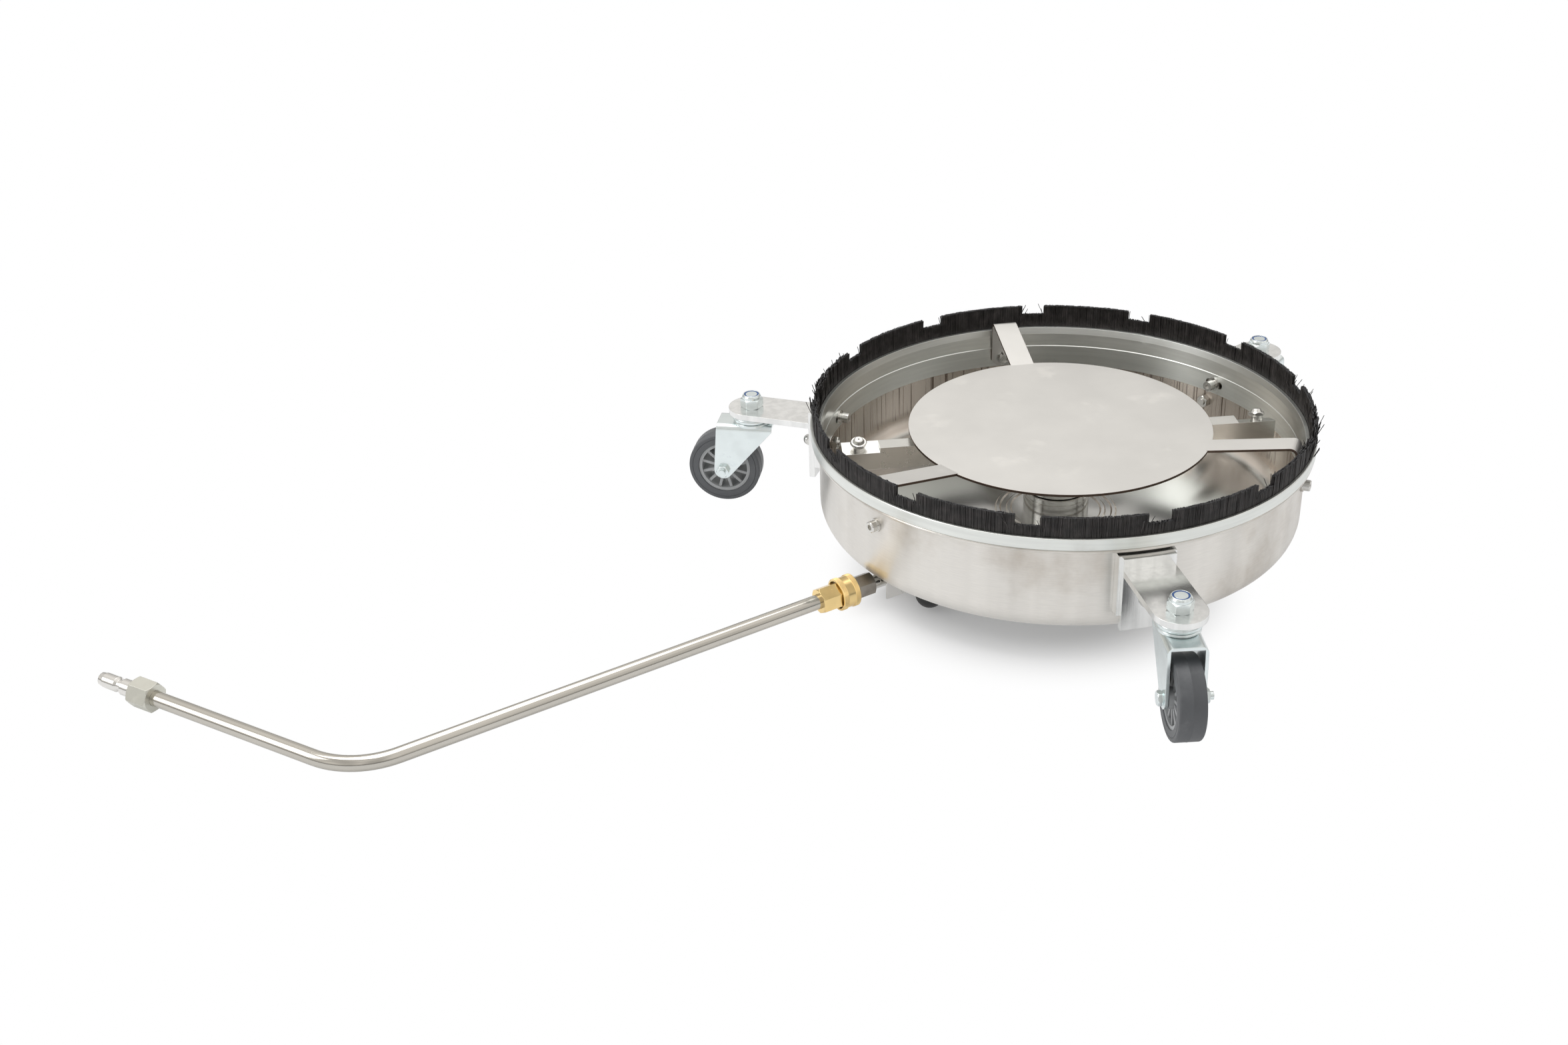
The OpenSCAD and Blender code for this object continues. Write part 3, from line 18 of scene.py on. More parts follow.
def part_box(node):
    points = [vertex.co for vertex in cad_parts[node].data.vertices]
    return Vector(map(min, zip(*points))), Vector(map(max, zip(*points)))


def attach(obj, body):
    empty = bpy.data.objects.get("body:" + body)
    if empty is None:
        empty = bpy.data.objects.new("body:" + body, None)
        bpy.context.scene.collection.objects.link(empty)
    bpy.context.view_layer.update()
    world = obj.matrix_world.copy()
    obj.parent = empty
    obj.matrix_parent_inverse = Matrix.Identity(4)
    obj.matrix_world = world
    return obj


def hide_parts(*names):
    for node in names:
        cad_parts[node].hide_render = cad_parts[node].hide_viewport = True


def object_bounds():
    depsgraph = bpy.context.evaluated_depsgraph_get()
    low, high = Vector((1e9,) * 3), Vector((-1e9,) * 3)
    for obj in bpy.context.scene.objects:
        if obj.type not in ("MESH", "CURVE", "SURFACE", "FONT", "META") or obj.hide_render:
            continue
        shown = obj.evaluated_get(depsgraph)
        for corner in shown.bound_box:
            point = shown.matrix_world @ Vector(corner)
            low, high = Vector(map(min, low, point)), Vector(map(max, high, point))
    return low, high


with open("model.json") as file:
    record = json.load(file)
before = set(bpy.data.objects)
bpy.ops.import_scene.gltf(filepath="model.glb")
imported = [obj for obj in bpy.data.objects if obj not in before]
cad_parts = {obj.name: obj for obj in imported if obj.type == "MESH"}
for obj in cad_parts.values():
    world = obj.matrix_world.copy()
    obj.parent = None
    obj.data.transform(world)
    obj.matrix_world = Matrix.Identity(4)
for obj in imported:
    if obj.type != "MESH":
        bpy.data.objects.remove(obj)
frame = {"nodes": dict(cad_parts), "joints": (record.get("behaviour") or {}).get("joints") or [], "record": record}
cad_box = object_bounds()
solids = frame["nodes"]
joints = {joint["name"]: joint for joint in frame["joints"]}
MM = 0.001
TINY = 1e-6
print("solids:", len(solids), "joints:", len(joints))
print("size in mm:", [round((b - a) / MM, 1) for a, b in zip(*cad_box)])

# %% [markdown]
# ## Tools for the work
#
# Every finish is a small tree of shader nodes. A few short helpers add the nodes, set
# their inputs by name and join their sockets, so each finish further on can be read as
# a list of what goes into what.

# %% Short helpers for shader work
def add(tree, kind, **settings):
    """Puts one shader node in a tree and sets what it is told to."""
    node = tree.nodes.new(kind)
    for name, value in settings.items():
        setattr(node, name, value)
    return node


def link(tree, *pairs):
    """Joins sockets, given as (from, to) pairs."""
    for start, end in pairs:
        tree.links.new(start, end)


def dial(node, **values):
    """Sets inputs by their labels, with _ for each space in a label."""
    for label, value in values.items():
        node.inputs[label.replace("_", " ")].default_value = value
    return node


def ranged(tree, soft=False, **limits):
    """A node that maps one range of values to another, softly if asked."""
    shape = {"interpolation_type": "SMOOTHSTEP"} if soft else {}
    return dial(add(tree, "ShaderNodeMapRange", **shape), **limits)


# A colour mix keeps its share, its two colours and its result at these places.
SHARE, ONE, OTHER, MIXED = 0, 6, 7, 2


def multiplied(tree):
    """A mix node that multiplies two colours in full."""
    mix = add(tree, "ShaderNodeMix", data_type="RGBA", blend_type="MULTIPLY")
    mix.inputs[SHARE].default_value = 1
    return mix


def fresh_material(name):
    """An empty material with its own output node."""
    material = bpy.data.materials.new(name)
    material.use_nodes = True
    material.node_tree.nodes.clear()
    output = add(material.node_tree, "ShaderNodeOutputMaterial")
    return material, material.node_tree, output


print("helpers ready")

# %% [markdown]
# ## The studio floor
#
# A product like this stands on a table of white acrylic that is lit from below too, so
# its shadow is pale and fades to pure white within a hand's breadth. The table could be
# an infinite curve, but a large flat disc is enough, because the room behind it is
# white as well. The light from below is faked for eyes and mirrors only: they see the
# paint mixed with plain white, a little under the hood and fully further out. No more
# light falls on the object for it.

# %% The white table
FLOOR_RADIUS, FLOOR_GAP = 30.0, 0.2 * MM
FLOOR_PAINT = (0.93, 0.93, 0.935, 1)
SHADOW_HEART = (-0.050, -0.038, 0)
SHADOW_KEPT, FADE_FROM, WHITE_FROM = 0.836, 0.094, 0.177
MIRROR_WHITE = 0.42


def white_table():
    """Acrylic that keeps a pale shadow near one spot and is white elsewhere."""
    material, tree, output = fresh_material("white_acrylic")
    paint = dial(add(tree, "ShaderNodeBsdfDiffuse"), Color=FLOOR_PAINT)
    white = add(tree, "ShaderNodeEmission")
    place = add(tree, "ShaderNodeTexCoord")
    away = add(tree, "ShaderNodeVectorMath", operation="DISTANCE")
    away.inputs[1].default_value = SHADOW_HEART
    fade = ranged(tree, soft=True, From_Min=FADE_FROM, From_Max=WHITE_FROM,
                  To_Min=1 - SHADOW_KEPT)
    path = add(tree, "ShaderNodeLightPath")
    for_eyes = add(tree, "ShaderNodeMath", operation="MULTIPLY")
    for_mirrors = add(tree, "ShaderNodeMath", operation="MULTIPLY")
    for_mirrors.inputs[1].default_value = MIRROR_WHITE
    share = add(tree, "ShaderNodeMath", operation="MAXIMUM")
    both = add(tree, "ShaderNodeMixShader")
    link(tree,
         (place.outputs["Object"], away.inputs[0]),
         (away.outputs["Value"], fade.inputs["Value"]),
         (fade.outputs[0], for_eyes.inputs[0]),
         (path.outputs["Is Camera Ray"], for_eyes.inputs[1]),
         (path.outputs["Is Glossy Ray"], for_mirrors.inputs[0]),
         (for_eyes.outputs[0], share.inputs[0]),
         (for_mirrors.outputs[0], share.inputs[1]),
         (share.outputs[0], both.inputs[0]),
         (paint.outputs[0], both.inputs[1]),
         (white.outputs[0], both.inputs[2]),
         (both.outputs[0], output.inputs["Surface"]))
    return material


bpy.ops.mesh.primitive_circle_add(vertices=96, radius=FLOOR_RADIUS, fill_type="NGON")
floor = bpy.context.object
floor.name = "studio_floor"
floor.location.z = cad_box[0].z - FLOOR_GAP
floor.data.materials.append(white_table())
print("floor at", round(floor.location.z / MM, 2), "mm")

# %% [markdown]
# ## Light
#
# Polished metal shows the room more than its own colour. In an evenly white room it
# would look like grey plaster, so the mirrored room has darker walls between a bright
# ceiling and the white sheet, as a studio has behind its lamps. Soft patches of shade
# stand for the dark flags that hang about in it. Only reflections see those walls: the
# camera sees plain white, and soft light comes evenly from all round.

# %% The room, as eyes, mirrors and matt surfaces see it
ROOM_LIGHT = 0.62
WALL_TONES = [(0.00, 0.26), (0.07, 0.34), (0.20, 0.74), (0.40, 1.0), (0.70, 1.0)]
WARM = (1, 0.975, 0.94)
FLAG_SCALE, FLAG_DETAIL, FLAG_STRETCH = 2.2, 1.5, (1, 1, 0.25)
FLAG_FROM, FLAG_TO, FLAG_TONE = 0.35, 0.6, 0.65


def studio_room():
    """A white world whose reflection has darker walls low down."""
    world = bpy.data.worlds.new("studio_room")
    bpy.context.scene.world = world
    world.use_nodes = True
    tree = world.node_tree
    tree.nodes.clear()
    place = add(tree, "ShaderNodeTexCoord")
    parts = add(tree, "ShaderNodeSeparateXYZ")
    walls = add(tree, "ShaderNodeValToRGB")
    ramp = walls.color_ramp
    while len(ramp.elements) < len(WALL_TONES):
        ramp.elements.new(0.5)
    for stop, (height, tone) in zip(ramp.elements, WALL_TONES):
        stop.position = height
        stop.color = (*(tone * share for share in WARM), 1)
    flags = dial(add(tree, "ShaderNodeTexNoise", noise_dimensions="3D"),
                 Scale=FLAG_SCALE, Detail=FLAG_DETAIL)
    spread = add(tree, "ShaderNodeVectorMath", operation="MULTIPLY")
    spread.inputs[1].default_value = FLAG_STRETCH
    flag_tone = ranged(tree, From_Min=FLAG_FROM, From_Max=FLAG_TO, To_Min=FLAG_TONE)
    mirrored = multiplied(tree)
    path = add(tree, "ShaderNodeLightPath")
    even = dial(add(tree, "ShaderNodeBackground"), Strength=ROOM_LIGHT)
    seen = add(tree, "ShaderNodeBackground")
    white = dial(add(tree, "ShaderNodeBackground"), Color=(1, 1, 1, 1))
    for_mirrors = add(tree, "ShaderNodeMixShader")
    for_eyes = add(tree, "ShaderNodeMixShader")
    output = add(tree, "ShaderNodeOutputWorld")
    link(tree,
         (place.outputs["Generated"], parts.inputs[0]),
         (parts.outputs["Z"], walls.inputs[0]),
         (place.outputs["Generated"], spread.inputs[0]),
         (spread.outputs[0], flags.inputs["Vector"]),
         (flags.outputs["Fac"], flag_tone.inputs["Value"]),
         (walls.outputs[0], mirrored.inputs[ONE]),
         (flag_tone.outputs[0], mirrored.inputs[OTHER]),
         (mirrored.outputs[MIXED], seen.inputs["Color"]),
         (path.outputs["Is Glossy Ray"], for_mirrors.inputs[0]),
         (even.outputs[0], for_mirrors.inputs[1]),
         (seen.outputs[0], for_mirrors.inputs[2]),
         (path.outputs["Is Camera Ray"], for_eyes.inputs[0]),
         (for_mirrors.outputs[0], for_eyes.inputs[1]),
         (white.outputs[0], for_eyes.inputs[2]),
         (for_eyes.outputs[0], output.inputs["Surface"]))
    return world


studio_room()
print("room ready")

# %% [markdown]
# One wide soft lamp overhead gives the gentle shadow under the hood. A wide lamp makes
# a soft edge, as a diffuser cloth does, and keeps the highlights on the tube long.

# %% Soft lamps
def softbox(name, place, target, size, watts):
    """A square area lamp that faces a point."""
    lamp = bpy.data.lights.new(name, "AREA")
    lamp.shape = "RECTANGLE"
    lamp.size, lamp.size_y = size
    lamp.energy = watts
    holder = bpy.data.objects.new(name, lamp)
    bpy.context.scene.collection.objects.link(holder)
    holder.location = place
    towards = Vector(target) - Vector(place)
    holder.rotation_euler = towards.to_track_quat("-Z", "Y").to_euler()
    return holder


softbox("overhead_lamp", (-0.3, 0.5, 2.2), (-0.1, 0, 0), (1.8, 1.8), 26)
softbox("left_lamp", (-2.2, 0.6, 1.3), (0, 0, 0), (0.9, 1.4), 9)

# %% [markdown]
# ## The camera
#
# The eye stands a good metre from the hood, a little above it, on the side where the
# lance points to the left. Its tilt and lens come from the way the round brush ring
# and the straight lance line up on each other.

# %% Camera
EYE = Vector((-0.8770, -1.0677, 0.7743))
HEADING, DIP, ROLL = math.radians(60.08), math.radians(28.87), math.radians(-2.01)
LENS, FILM = 42.62, 36.0


def aim_camera():
    """Builds the camera from its heading, its dip and its small roll."""
    forward = Vector((math.cos(HEADING) * math.cos(DIP),
                      math.sin(HEADING) * math.cos(DIP), -math.sin(DIP)))
    right = Vector((math.sin(HEADING), -math.cos(HEADING), 0))
    up = right.cross(forward)
    across = right * math.cos(ROLL) + up * math.sin(ROLL)
    upward = up * math.cos(ROLL) - right * math.sin(ROLL)
    lens = bpy.data.cameras.new("camera")
    lens.lens, lens.sensor_width = LENS, FILM
    lens.clip_start, lens.clip_end = 0.01, 100
    camera = bpy.data.objects.new("camera", lens)
    bpy.context.scene.collection.objects.link(camera)
    turn = Matrix((across, upward, -forward)).transposed().to_4x4()
    camera.matrix_world = Matrix.Translation(EYE) @ turn
    bpy.context.scene.camera = camera
    return camera


aim_camera()
bpy.context.scene.view_settings.view_transform = "Standard"
print("camera", [round(c, 3) for c in EYE])

# %% [markdown]
# ## Effects that several finishes share
#
# Sheet metal is never one flat tone. Rolling and brushing leave a grain, hands leave
# smudges, and edges are rubbed bright. Each of these is a small node group, built once
# and set differently in each finish. The first one is the grain: a fine noise, pulled
# long in one direction, with a broader cloud of tone under it.

# %% Group: grain
def begin_group(name, takes, gives):
    """A node group with named sockets, and its two end nodes."""
    tree = bpy.data.node_groups.new(name, "ShaderNodeTree")
    for way, sockets in (("INPUT", takes), ("OUTPUT", gives)):
        for label, kind in sockets:
            tree.interface.new_socket(label, in_out=way, socket_type=kind)
    return tree, add(tree, "NodeGroupInput"), add(tree, "NodeGroupOutput")


NUMBER, PLACE = "NodeSocketFloat", "NodeSocketVector"


def grain_group():
    """Height: fine grain. Cloud: slow drift of tone, both stretched alike."""
    tree, took, gave = begin_group(
        "sheet_grain",
        [("Stretch", PLACE), ("Fineness", NUMBER), ("Cloud Size", NUMBER)],
        [("Height", NUMBER), ("Cloud", NUMBER)])
    place = add(tree, "ShaderNodeTexCoord")
    pull = add(tree, "ShaderNodeVectorMath", operation="MULTIPLY")
    fine = dial(add(tree, "ShaderNodeTexNoise"), Detail=5)
    broad = dial(add(tree, "ShaderNodeTexNoise"), Detail=3)
    link(tree,
         (place.outputs["Object"], pull.inputs[0]),
         (took.outputs["Stretch"], pull.inputs[1]),
         (pull.outputs[0], fine.inputs["Vector"]),
         (took.outputs["Fineness"], fine.inputs["Scale"]),
         (pull.outputs[0], broad.inputs["Vector"]),
         (took.outputs["Cloud Size"], broad.inputs["Scale"]),
         (fine.outputs["Fac"], gave.inputs["Height"]),
         (broad.outputs["Fac"], gave.inputs["Cloud"]))
    return tree


GRAIN = grain_group()
print(GRAIN.name)

# %% [markdown]
# Smudges are where hands, water and cloths have been: a few soft islands with finer
# specks in them. They change the roughness more than the colour.

# %% Group: smudges
FULLY_MARKED = 0.8


def smudge_group():
    """Mask: soft islands of handling marks, 0 for clean and 1 for marked."""
    tree, took, gave = begin_group("smudges", [("Size", NUMBER), ("Reach", NUMBER)],
                                   [("Mask", NUMBER)])
    place = add(tree, "ShaderNodeTexCoord")
    islands = dial(add(tree, "ShaderNodeTexNoise"), Detail=6, Roughness=0.62)
    edge = add(tree, "ShaderNodeMath", operation="SUBTRACT", use_clamp=True)
    edge.inputs[0].default_value = 1.0
    soften = ranged(tree, soft=True, From_Max=FULLY_MARKED)
    link(tree,
         (place.outputs["Object"], islands.inputs["Vector"]),
         (took.outputs["Size"], islands.inputs["Scale"]),
         (took.outputs["Reach"], edge.inputs[1]),
         (edge.outputs[0], soften.inputs["From Min"]),
         (islands.outputs["Fac"], soften.inputs["Value"]),
         (soften.outputs[0], gave.inputs["Mask"]))
    return tree


SMUDGES = smudge_group()
print(SMUDGES.name)

# %% [markdown]
# No real edge is perfectly sharp. The bevel node looks round each point for another
# face, and gives a rounded normal there. Where that normal leaves the face's own one,
# there is an edge, and that difference is also a mask for rubbed metal.

# %% Group: rubbed edges
FLAT, TURNED = 0.995, 0.80


def edge_group():
    """Normal: rounded at edges. Mask: 1 on an edge, 0 away from it."""
    tree, took, gave = begin_group("rubbed_edges", [("Radius", NUMBER)],
                                   [("Normal", PLACE), ("Mask", NUMBER)])
    rounded = add(tree, "ShaderNodeBevel", samples=4)
    face = add(tree, "ShaderNodeNewGeometry")
    alike = add(tree, "ShaderNodeVectorMath", operation="DOT_PRODUCT")
    turn = ranged(tree, soft=True, From_Min=FLAT, From_Max=TURNED)
    link(tree,
         (took.outputs["Radius"], rounded.inputs["Radius"]),
         (rounded.outputs[0], alike.inputs[0]),
         (face.outputs["Normal"], alike.inputs[1]),
         (alike.outputs["Value"], turn.inputs["Value"]),
         (rounded.outputs[0], gave.inputs["Normal"]),
         (turn.outputs[0], gave.inputs["Mask"]))
    return tree


EDGES = edge_group()
print(EDGES.name)

# %% [markdown]
# ## Metal finishes
#
# All the metals are the same recipe with other numbers: a base tone, a second tone for
# the smudges, a grain and its direction, and how rough and how deep each of them is.
# Writing it as one function keeps the finishes comparable side by side.

# %% Steps that every recipe shares
QUARTER_TURN = 0.25


def place_group(tree, group, **values):
    """Puts a shared group in a material and sets its inputs."""
    return dial(add(tree, "ShaderNodeGroup", node_tree=group), **values)


def mix_tones(tree, one, other):
    """A mix node between two fixed tones."""
    mix = add(tree, "ShaderNodeMix", data_type="RGBA")
    mix.inputs[ONE].default_value = (*one, 1)
    mix.inputs[OTHER].default_value = (*other, 1)
    return mix


def brush_round(tree, skin, amount):
    """Brush lines that run round the upright axis, so mirrored things smear upright."""
    dial(skin, Anisotropic=amount, Anisotropic_Rotation=QUARTER_TURN)
    lines = add(tree, "ShaderNodeTangent", direction_type="RADIAL", axis="Z")
    link(tree, (lines.outputs[0], skin.inputs["Tangent"]))


def cover(tree, skin, output, roughness, height, edges, bump):
    """Wires roughness, relief and rounded edges to a skin, and the skin to the output."""
    link(tree,
         (roughness.outputs[0], skin.inputs["Roughness"]),
         (height, bump.inputs["Height"]),
         (edges.outputs["Normal"], bump.inputs["Normal"]),
         (bump.outputs[0], skin.inputs["Normal"]),
         (skin.outputs[0], output.inputs["Surface"]))


print("shared steps ready")

# %% The recipe for a metal
RELIEF = 0.2 * MM
MARKS_ROUGHER, MARKS_ROUGH_MORE = 1.45, 0.03
NOISE_LOW, NOISE_HIGH = 0.35, 0.65


def metal(name, tone, marked, rough, *, depth, cloud, smudge, fineness=900,
          grain=(1, 1, 1), cloud_tone=0.08, reach=0.45, edge=0.4 * MM,
          edge_tone=(0.95, 0.95, 0.95), edge_share=0.3, brushed=0.0):
    """A metal with grain, smudges and edges of another tone."""
    material, tree, output = fresh_material(name)
    skin = dial(add(tree, "ShaderNodeBsdfPrincipled"), Metallic=1.0)
    lines = place_group(tree, GRAIN, Stretch=grain, Fineness=fineness, Cloud_Size=cloud)
    marks = place_group(tree, SMUDGES, Size=smudge, Reach=reach)
    edges = place_group(tree, EDGES, Radius=edge)
    drift = ranged(tree, From_Min=NOISE_LOW, From_Max=NOISE_HIGH,
                   To_Min=1 - cloud_tone)
    colour = mix_tones(tree, tone, marked)
    shaded = multiplied(tree)
    on_edge = add(tree, "ShaderNodeMath", operation="MULTIPLY")
    on_edge.inputs[1].default_value = edge_share
    rimmed = add(tree, "ShaderNodeMix", data_type="RGBA")
    rimmed.inputs[OTHER].default_value = (*edge_tone, 1)
    roughness = ranged(tree, To_Min=rough,
                       To_Max=min(1, rough * MARKS_ROUGHER + MARKS_ROUGH_MORE))
    bump = dial(add(tree, "ShaderNodeBump"), Strength=depth, Distance=RELIEF)
    if brushed:
        brush_round(tree, skin, brushed)
    link(tree,
         (marks.outputs["Mask"], colour.inputs[SHARE]),
         (lines.outputs["Cloud"], drift.inputs["Value"]),
         (colour.outputs[MIXED], shaded.inputs[ONE]),
         (drift.outputs[0], shaded.inputs[OTHER]),
         (edges.outputs["Mask"], on_edge.inputs[0]),
         (on_edge.outputs[0], rimmed.inputs[SHARE]),
         (shaded.outputs[MIXED], rimmed.inputs[ONE]),
         (rimmed.outputs[MIXED], skin.inputs["Base Color"]),
         (marks.outputs["Mask"], roughness.inputs["Value"]))
    cover(tree, skin, output, roughness, lines.outputs["Height"], edges, bump)
    return material


print("metal recipe ready")

# %% [markdown]
# The small parts need only that recipe. The guard plate is cut from sheet by a laser
# and then blasted, so its faces are an even satin and its edges stay brown from the
# heat. The bracket plates are rolled aluminium, bright enough to mirror a nut that
# stands on them. The holder ring is an extrusion, polished round its length.

# %% Sheet, plate and turned metals
FINISH = {
    "stainless": metal("bright_stainless", (0.78, 0.765, 0.735), (0.70, 0.67, 0.62), 0.13,
                       depth=0.03, cloud=20, smudge=30, cloud_tone=0.05, reach=0.42),
    "tube": metal("polished_tube", (0.58, 0.555, 0.505), (0.51, 0.485, 0.435), 0.13,
                  depth=0.004, cloud=9, smudge=14, cloud_tone=0.06, reach=0.40),
    "satin_fitting": metal("satin_stainless", (0.67, 0.665, 0.60), (0.62, 0.61, 0.545),
                           0.36, depth=0.04, cloud=60, smudge=40, fineness=1500,
                           cloud_tone=0.06, reach=0.40),
    "guard_sheet": metal("blasted_sheet", (0.765, 0.755, 0.73), (0.71, 0.695, 0.665), 0.46,
                         depth=0.10, cloud=22, smudge=26, fineness=700,
                         cloud_tone=0.05, reach=0.44,
                         edge_tone=(0.52, 0.42, 0.36), edge_share=0.8),
    "aluminium": metal("rolled_aluminium", (0.90, 0.905, 0.895), (0.80, 0.805, 0.795), 0.19,
                       depth=0.12, cloud=160, smudge=26, grain=(1, 1, 0.04),
                       cloud_tone=0.12, reach=0.46, edge=0.5 * MM),
    "ring": metal("polished_extrusion", (0.84, 0.86, 0.83), (0.78, 0.795, 0.765), 0.34,
                  depth=0.10, cloud=300, smudge=20, fineness=1500,
                  grain=(0.05, 0.05, 1), reach=0.42, brushed=0.6),
    "arm_sheet": metal("arm_sheet", (0.80, 0.795, 0.76), (0.72, 0.71, 0.67), 0.24,
                       depth=0.08, cloud=30, smudge=30),
    "bright_steel": metal("turned_steel", (0.74, 0.73, 0.70), (0.62, 0.60, 0.56), 0.20,
                          depth=0.06, cloud=60, smudge=60, fineness=1400,
                          cloud_tone=0.10, edge=0.3 * MM),
    "dark_steel": metal("darkened_steel", (0.36, 0.33, 0.29), (0.27, 0.25, 0.22), 0.28,
                        depth=0.12, cloud=80, smudge=90, fineness=1200,
                        cloud_tone=0.2, reach=0.5),
    "zinc_steel": metal("blue_zinc_plate", (0.82, 0.885, 0.89), (0.72, 0.79, 0.81), 0.24,
                        depth=0.08, cloud=70, smudge=70, fineness=800, reach=0.42,
                        edge=0.5 * MM),
    "bearing_steel": metal("ground_steel", (0.72, 0.73, 0.75), (0.62, 0.63, 0.65), 0.10,
                           depth=0.03, cloud=80, smudge=90, fineness=1500,
                           cloud_tone=0.06, reach=0.4, edge=0.2 * MM),
    "brass": metal("bright_brass", (0.96, 0.72, 0.34), (0.86, 0.60, 0.24), 0.22,
                   depth=0.05, cloud=60, smudge=70, fineness=1400, reach=0.38,
                   edge=0.3 * MM, edge_tone=(1.0, 0.85, 0.55)),
}
print(sorted(FINISH))

# %% [markdown]
# A laser leaves the cut edge of a sheet brown, and a thin line of shade lies along the
# guard's rim. Both are painted on its edge faces as one dark brown. Those faces look
# sideways, as its hanging tabs do, but a tab looks along the radius and stands far out,
# so the two are easy to tell apart.

# %% Where a face looks
DROP_HEIGHT = (1, 1, 0)


def outlook(tree):
    """Three outputs: a point's place without height, how far its face looks outwards
    from the upright axis, and how far it looks up or down."""
    place = add(tree, "ShaderNodeTexCoord")
    flatten = add(tree, "ShaderNodeVectorMath", operation="MULTIPLY")
    flatten.inputs[1].default_value = DROP_HEIGHT
    outwards = add(tree, "ShaderNodeVectorMath", operation="NORMALIZE")
    face = add(tree, "ShaderNodeNewGeometry")
    facing = add(tree, "ShaderNodeVectorMath", operation="DOT_PRODUCT")
    parts = add(tree, "ShaderNodeSeparateXYZ")
    level = add(tree, "ShaderNodeMath", operation="ABSOLUTE")
    link(tree,
         (place.outputs["Object"], flatten.inputs[0]),
         (flatten.outputs[0], outwards.inputs[0]),
         (outwards.outputs[0], facing.inputs[0]),
         (face.outputs["Normal"], facing.inputs[1]),
         (face.outputs["Normal"], parts.inputs[0]),
         (parts.outputs["Z"], level.inputs[0]))
    return flatten.outputs[0], facing.outputs["Value"], level.outputs[0]


print("outlook ready")

# %% Brown cut edges and painted shade for the guard
# A dark brown that is partly the laser's own colour and partly painted shade at the rim.
CUT_BROWN_AND_SHADE = (0.17, 0.125, 0.10, 1)
TABS_FROM = 134 * MM
SIDEWAYS, ALONG_RADIUS = 0.12, 0.5


def brown_and_shade_edges(material):
    """Darkens faces that look sideways, except the tabs: laser brown and painted shade."""
    tree = material.node_tree
    skin = next(n for n in tree.nodes if n.bl_idname == "ShaderNodeBsdfPrincipled")
    before = skin.inputs["Base Color"].links[0].from_socket
    flat_place, facing, level = outlook(tree)
    away = add(tree, "ShaderNodeVectorMath", operation="LENGTH")
    sideways = add(tree, "ShaderNodeMath", operation="LESS_THAN")
    sideways.inputs[1].default_value = SIDEWAYS
    size = add(tree, "ShaderNodeMath", operation="ABSOLUTE")
    across = add(tree, "ShaderNodeMath", operation="LESS_THAN")
    across.inputs[1].default_value = ALONG_RADIUS
    near = add(tree, "ShaderNodeMath", operation="LESS_THAN")
    near.inputs[1].default_value = TABS_FROM
    either = add(tree, "ShaderNodeMath", operation="MAXIMUM")
    cut = add(tree, "ShaderNodeMath", operation="MULTIPLY")
    browned_and_shaded = add(tree, "ShaderNodeMix", data_type="RGBA")
    browned_and_shaded.inputs[OTHER].default_value = CUT_BROWN_AND_SHADE
    link(tree,
         (flat_place, away.inputs[0]),
         (level, sideways.inputs[0]),
         (facing, size.inputs[0]),
         (size.outputs[0], across.inputs[0]),
         (away.outputs["Value"], near.inputs[0]),
         (across.outputs[0], either.inputs[0]),
         (near.outputs[0], either.inputs[1]),
         (sideways.outputs[0], cut.inputs[0]),
         (either.outputs[0], cut.inputs[1]),
         (cut.outputs[0], browned_and_shaded.inputs[SHARE]),
         (before, browned_and_shaded.inputs[ONE]),
         (browned_and_shaded.outputs[MIXED], skin.inputs["Base Color"]))


brown_and_shade_edges(FINISH["guard_sheet"])
print("guard edges browned")

# %% [markdown]
# The hood is deep drawn from stainless sheet, and its faces are finished differently.
# The outside is brushed round, so the brass coupler in front of it shows as an upright
# golden smear. The inside is left as drawn and brownish, with dark upright streaks
# painted on it as reflections.
# The flat bottom is still nearly a mirror. A small group finds those zones from where
# a face looks, so one material serves the whole solid.

# %% Group: zones of the hood
INWARD_FROM, INWARD_FULL = -0.2, -0.6
LEVEL_FROM, LEVEL_FULL = 0.75, 0.95
UPRIGHT_FROM, UPRIGHT_FULL = 0.40, 0.08


def zone_group():
    """Inside: 1 where a face looks at the axis. Level: 1 where it looks up or down.
    Upright: 1 on the straight wall only, 0 already on the rounded corner."""
    tree, _, gave = begin_group("hood_zones", [], [("Inside", NUMBER), ("Level", NUMBER),
                                                   ("Upright", NUMBER)])
    _, facing, steep = outlook(tree)
    inside = ranged(tree, From_Min=INWARD_FROM, From_Max=INWARD_FULL)
    level = ranged(tree, From_Min=LEVEL_FROM, From_Max=LEVEL_FULL)
    upright = ranged(tree, From_Min=UPRIGHT_FROM, From_Max=UPRIGHT_FULL)
    link(tree,
         (facing, inside.inputs["Value"]),
         (steep, level.inputs["Value"]),
         (steep, upright.inputs["Value"]),
         (inside.outputs[0], gave.inputs["Inside"]),
         (level.outputs[0], gave.inputs["Level"]),
         (upright.outputs[0], gave.inputs["Upright"]))
    return tree


ZONES = zone_group()
print(ZONES.name)

# %% The hood's own finish
OUTSIDE, STAINED = (0.88, 0.855, 0.81), (0.52, 0.455, 0.38)
# The dark upright streaks of the inside are painted reflections.
AS_DRAWN, REFLECTION_STREAK = (0.76, 0.69, 0.62), (0.22, 0.17, 0.14)
MIRROR = (0.58, 0.58, 0.565)
ROUGH_OUTSIDE, ROUGH_INSIDE, ROUGH_MIRROR = 0.30, 0.26, 0.16
BRUSHED, BRUSH_DEPTH, BRUSH_TONE = 0.92, 0.05, 0.945
LINE_FROM, LINE_FULL = 0.54, 0.68
DRIFT_FROM, DRIFT_TO, DRIFT_TONE = 0.3, 0.7, 0.86


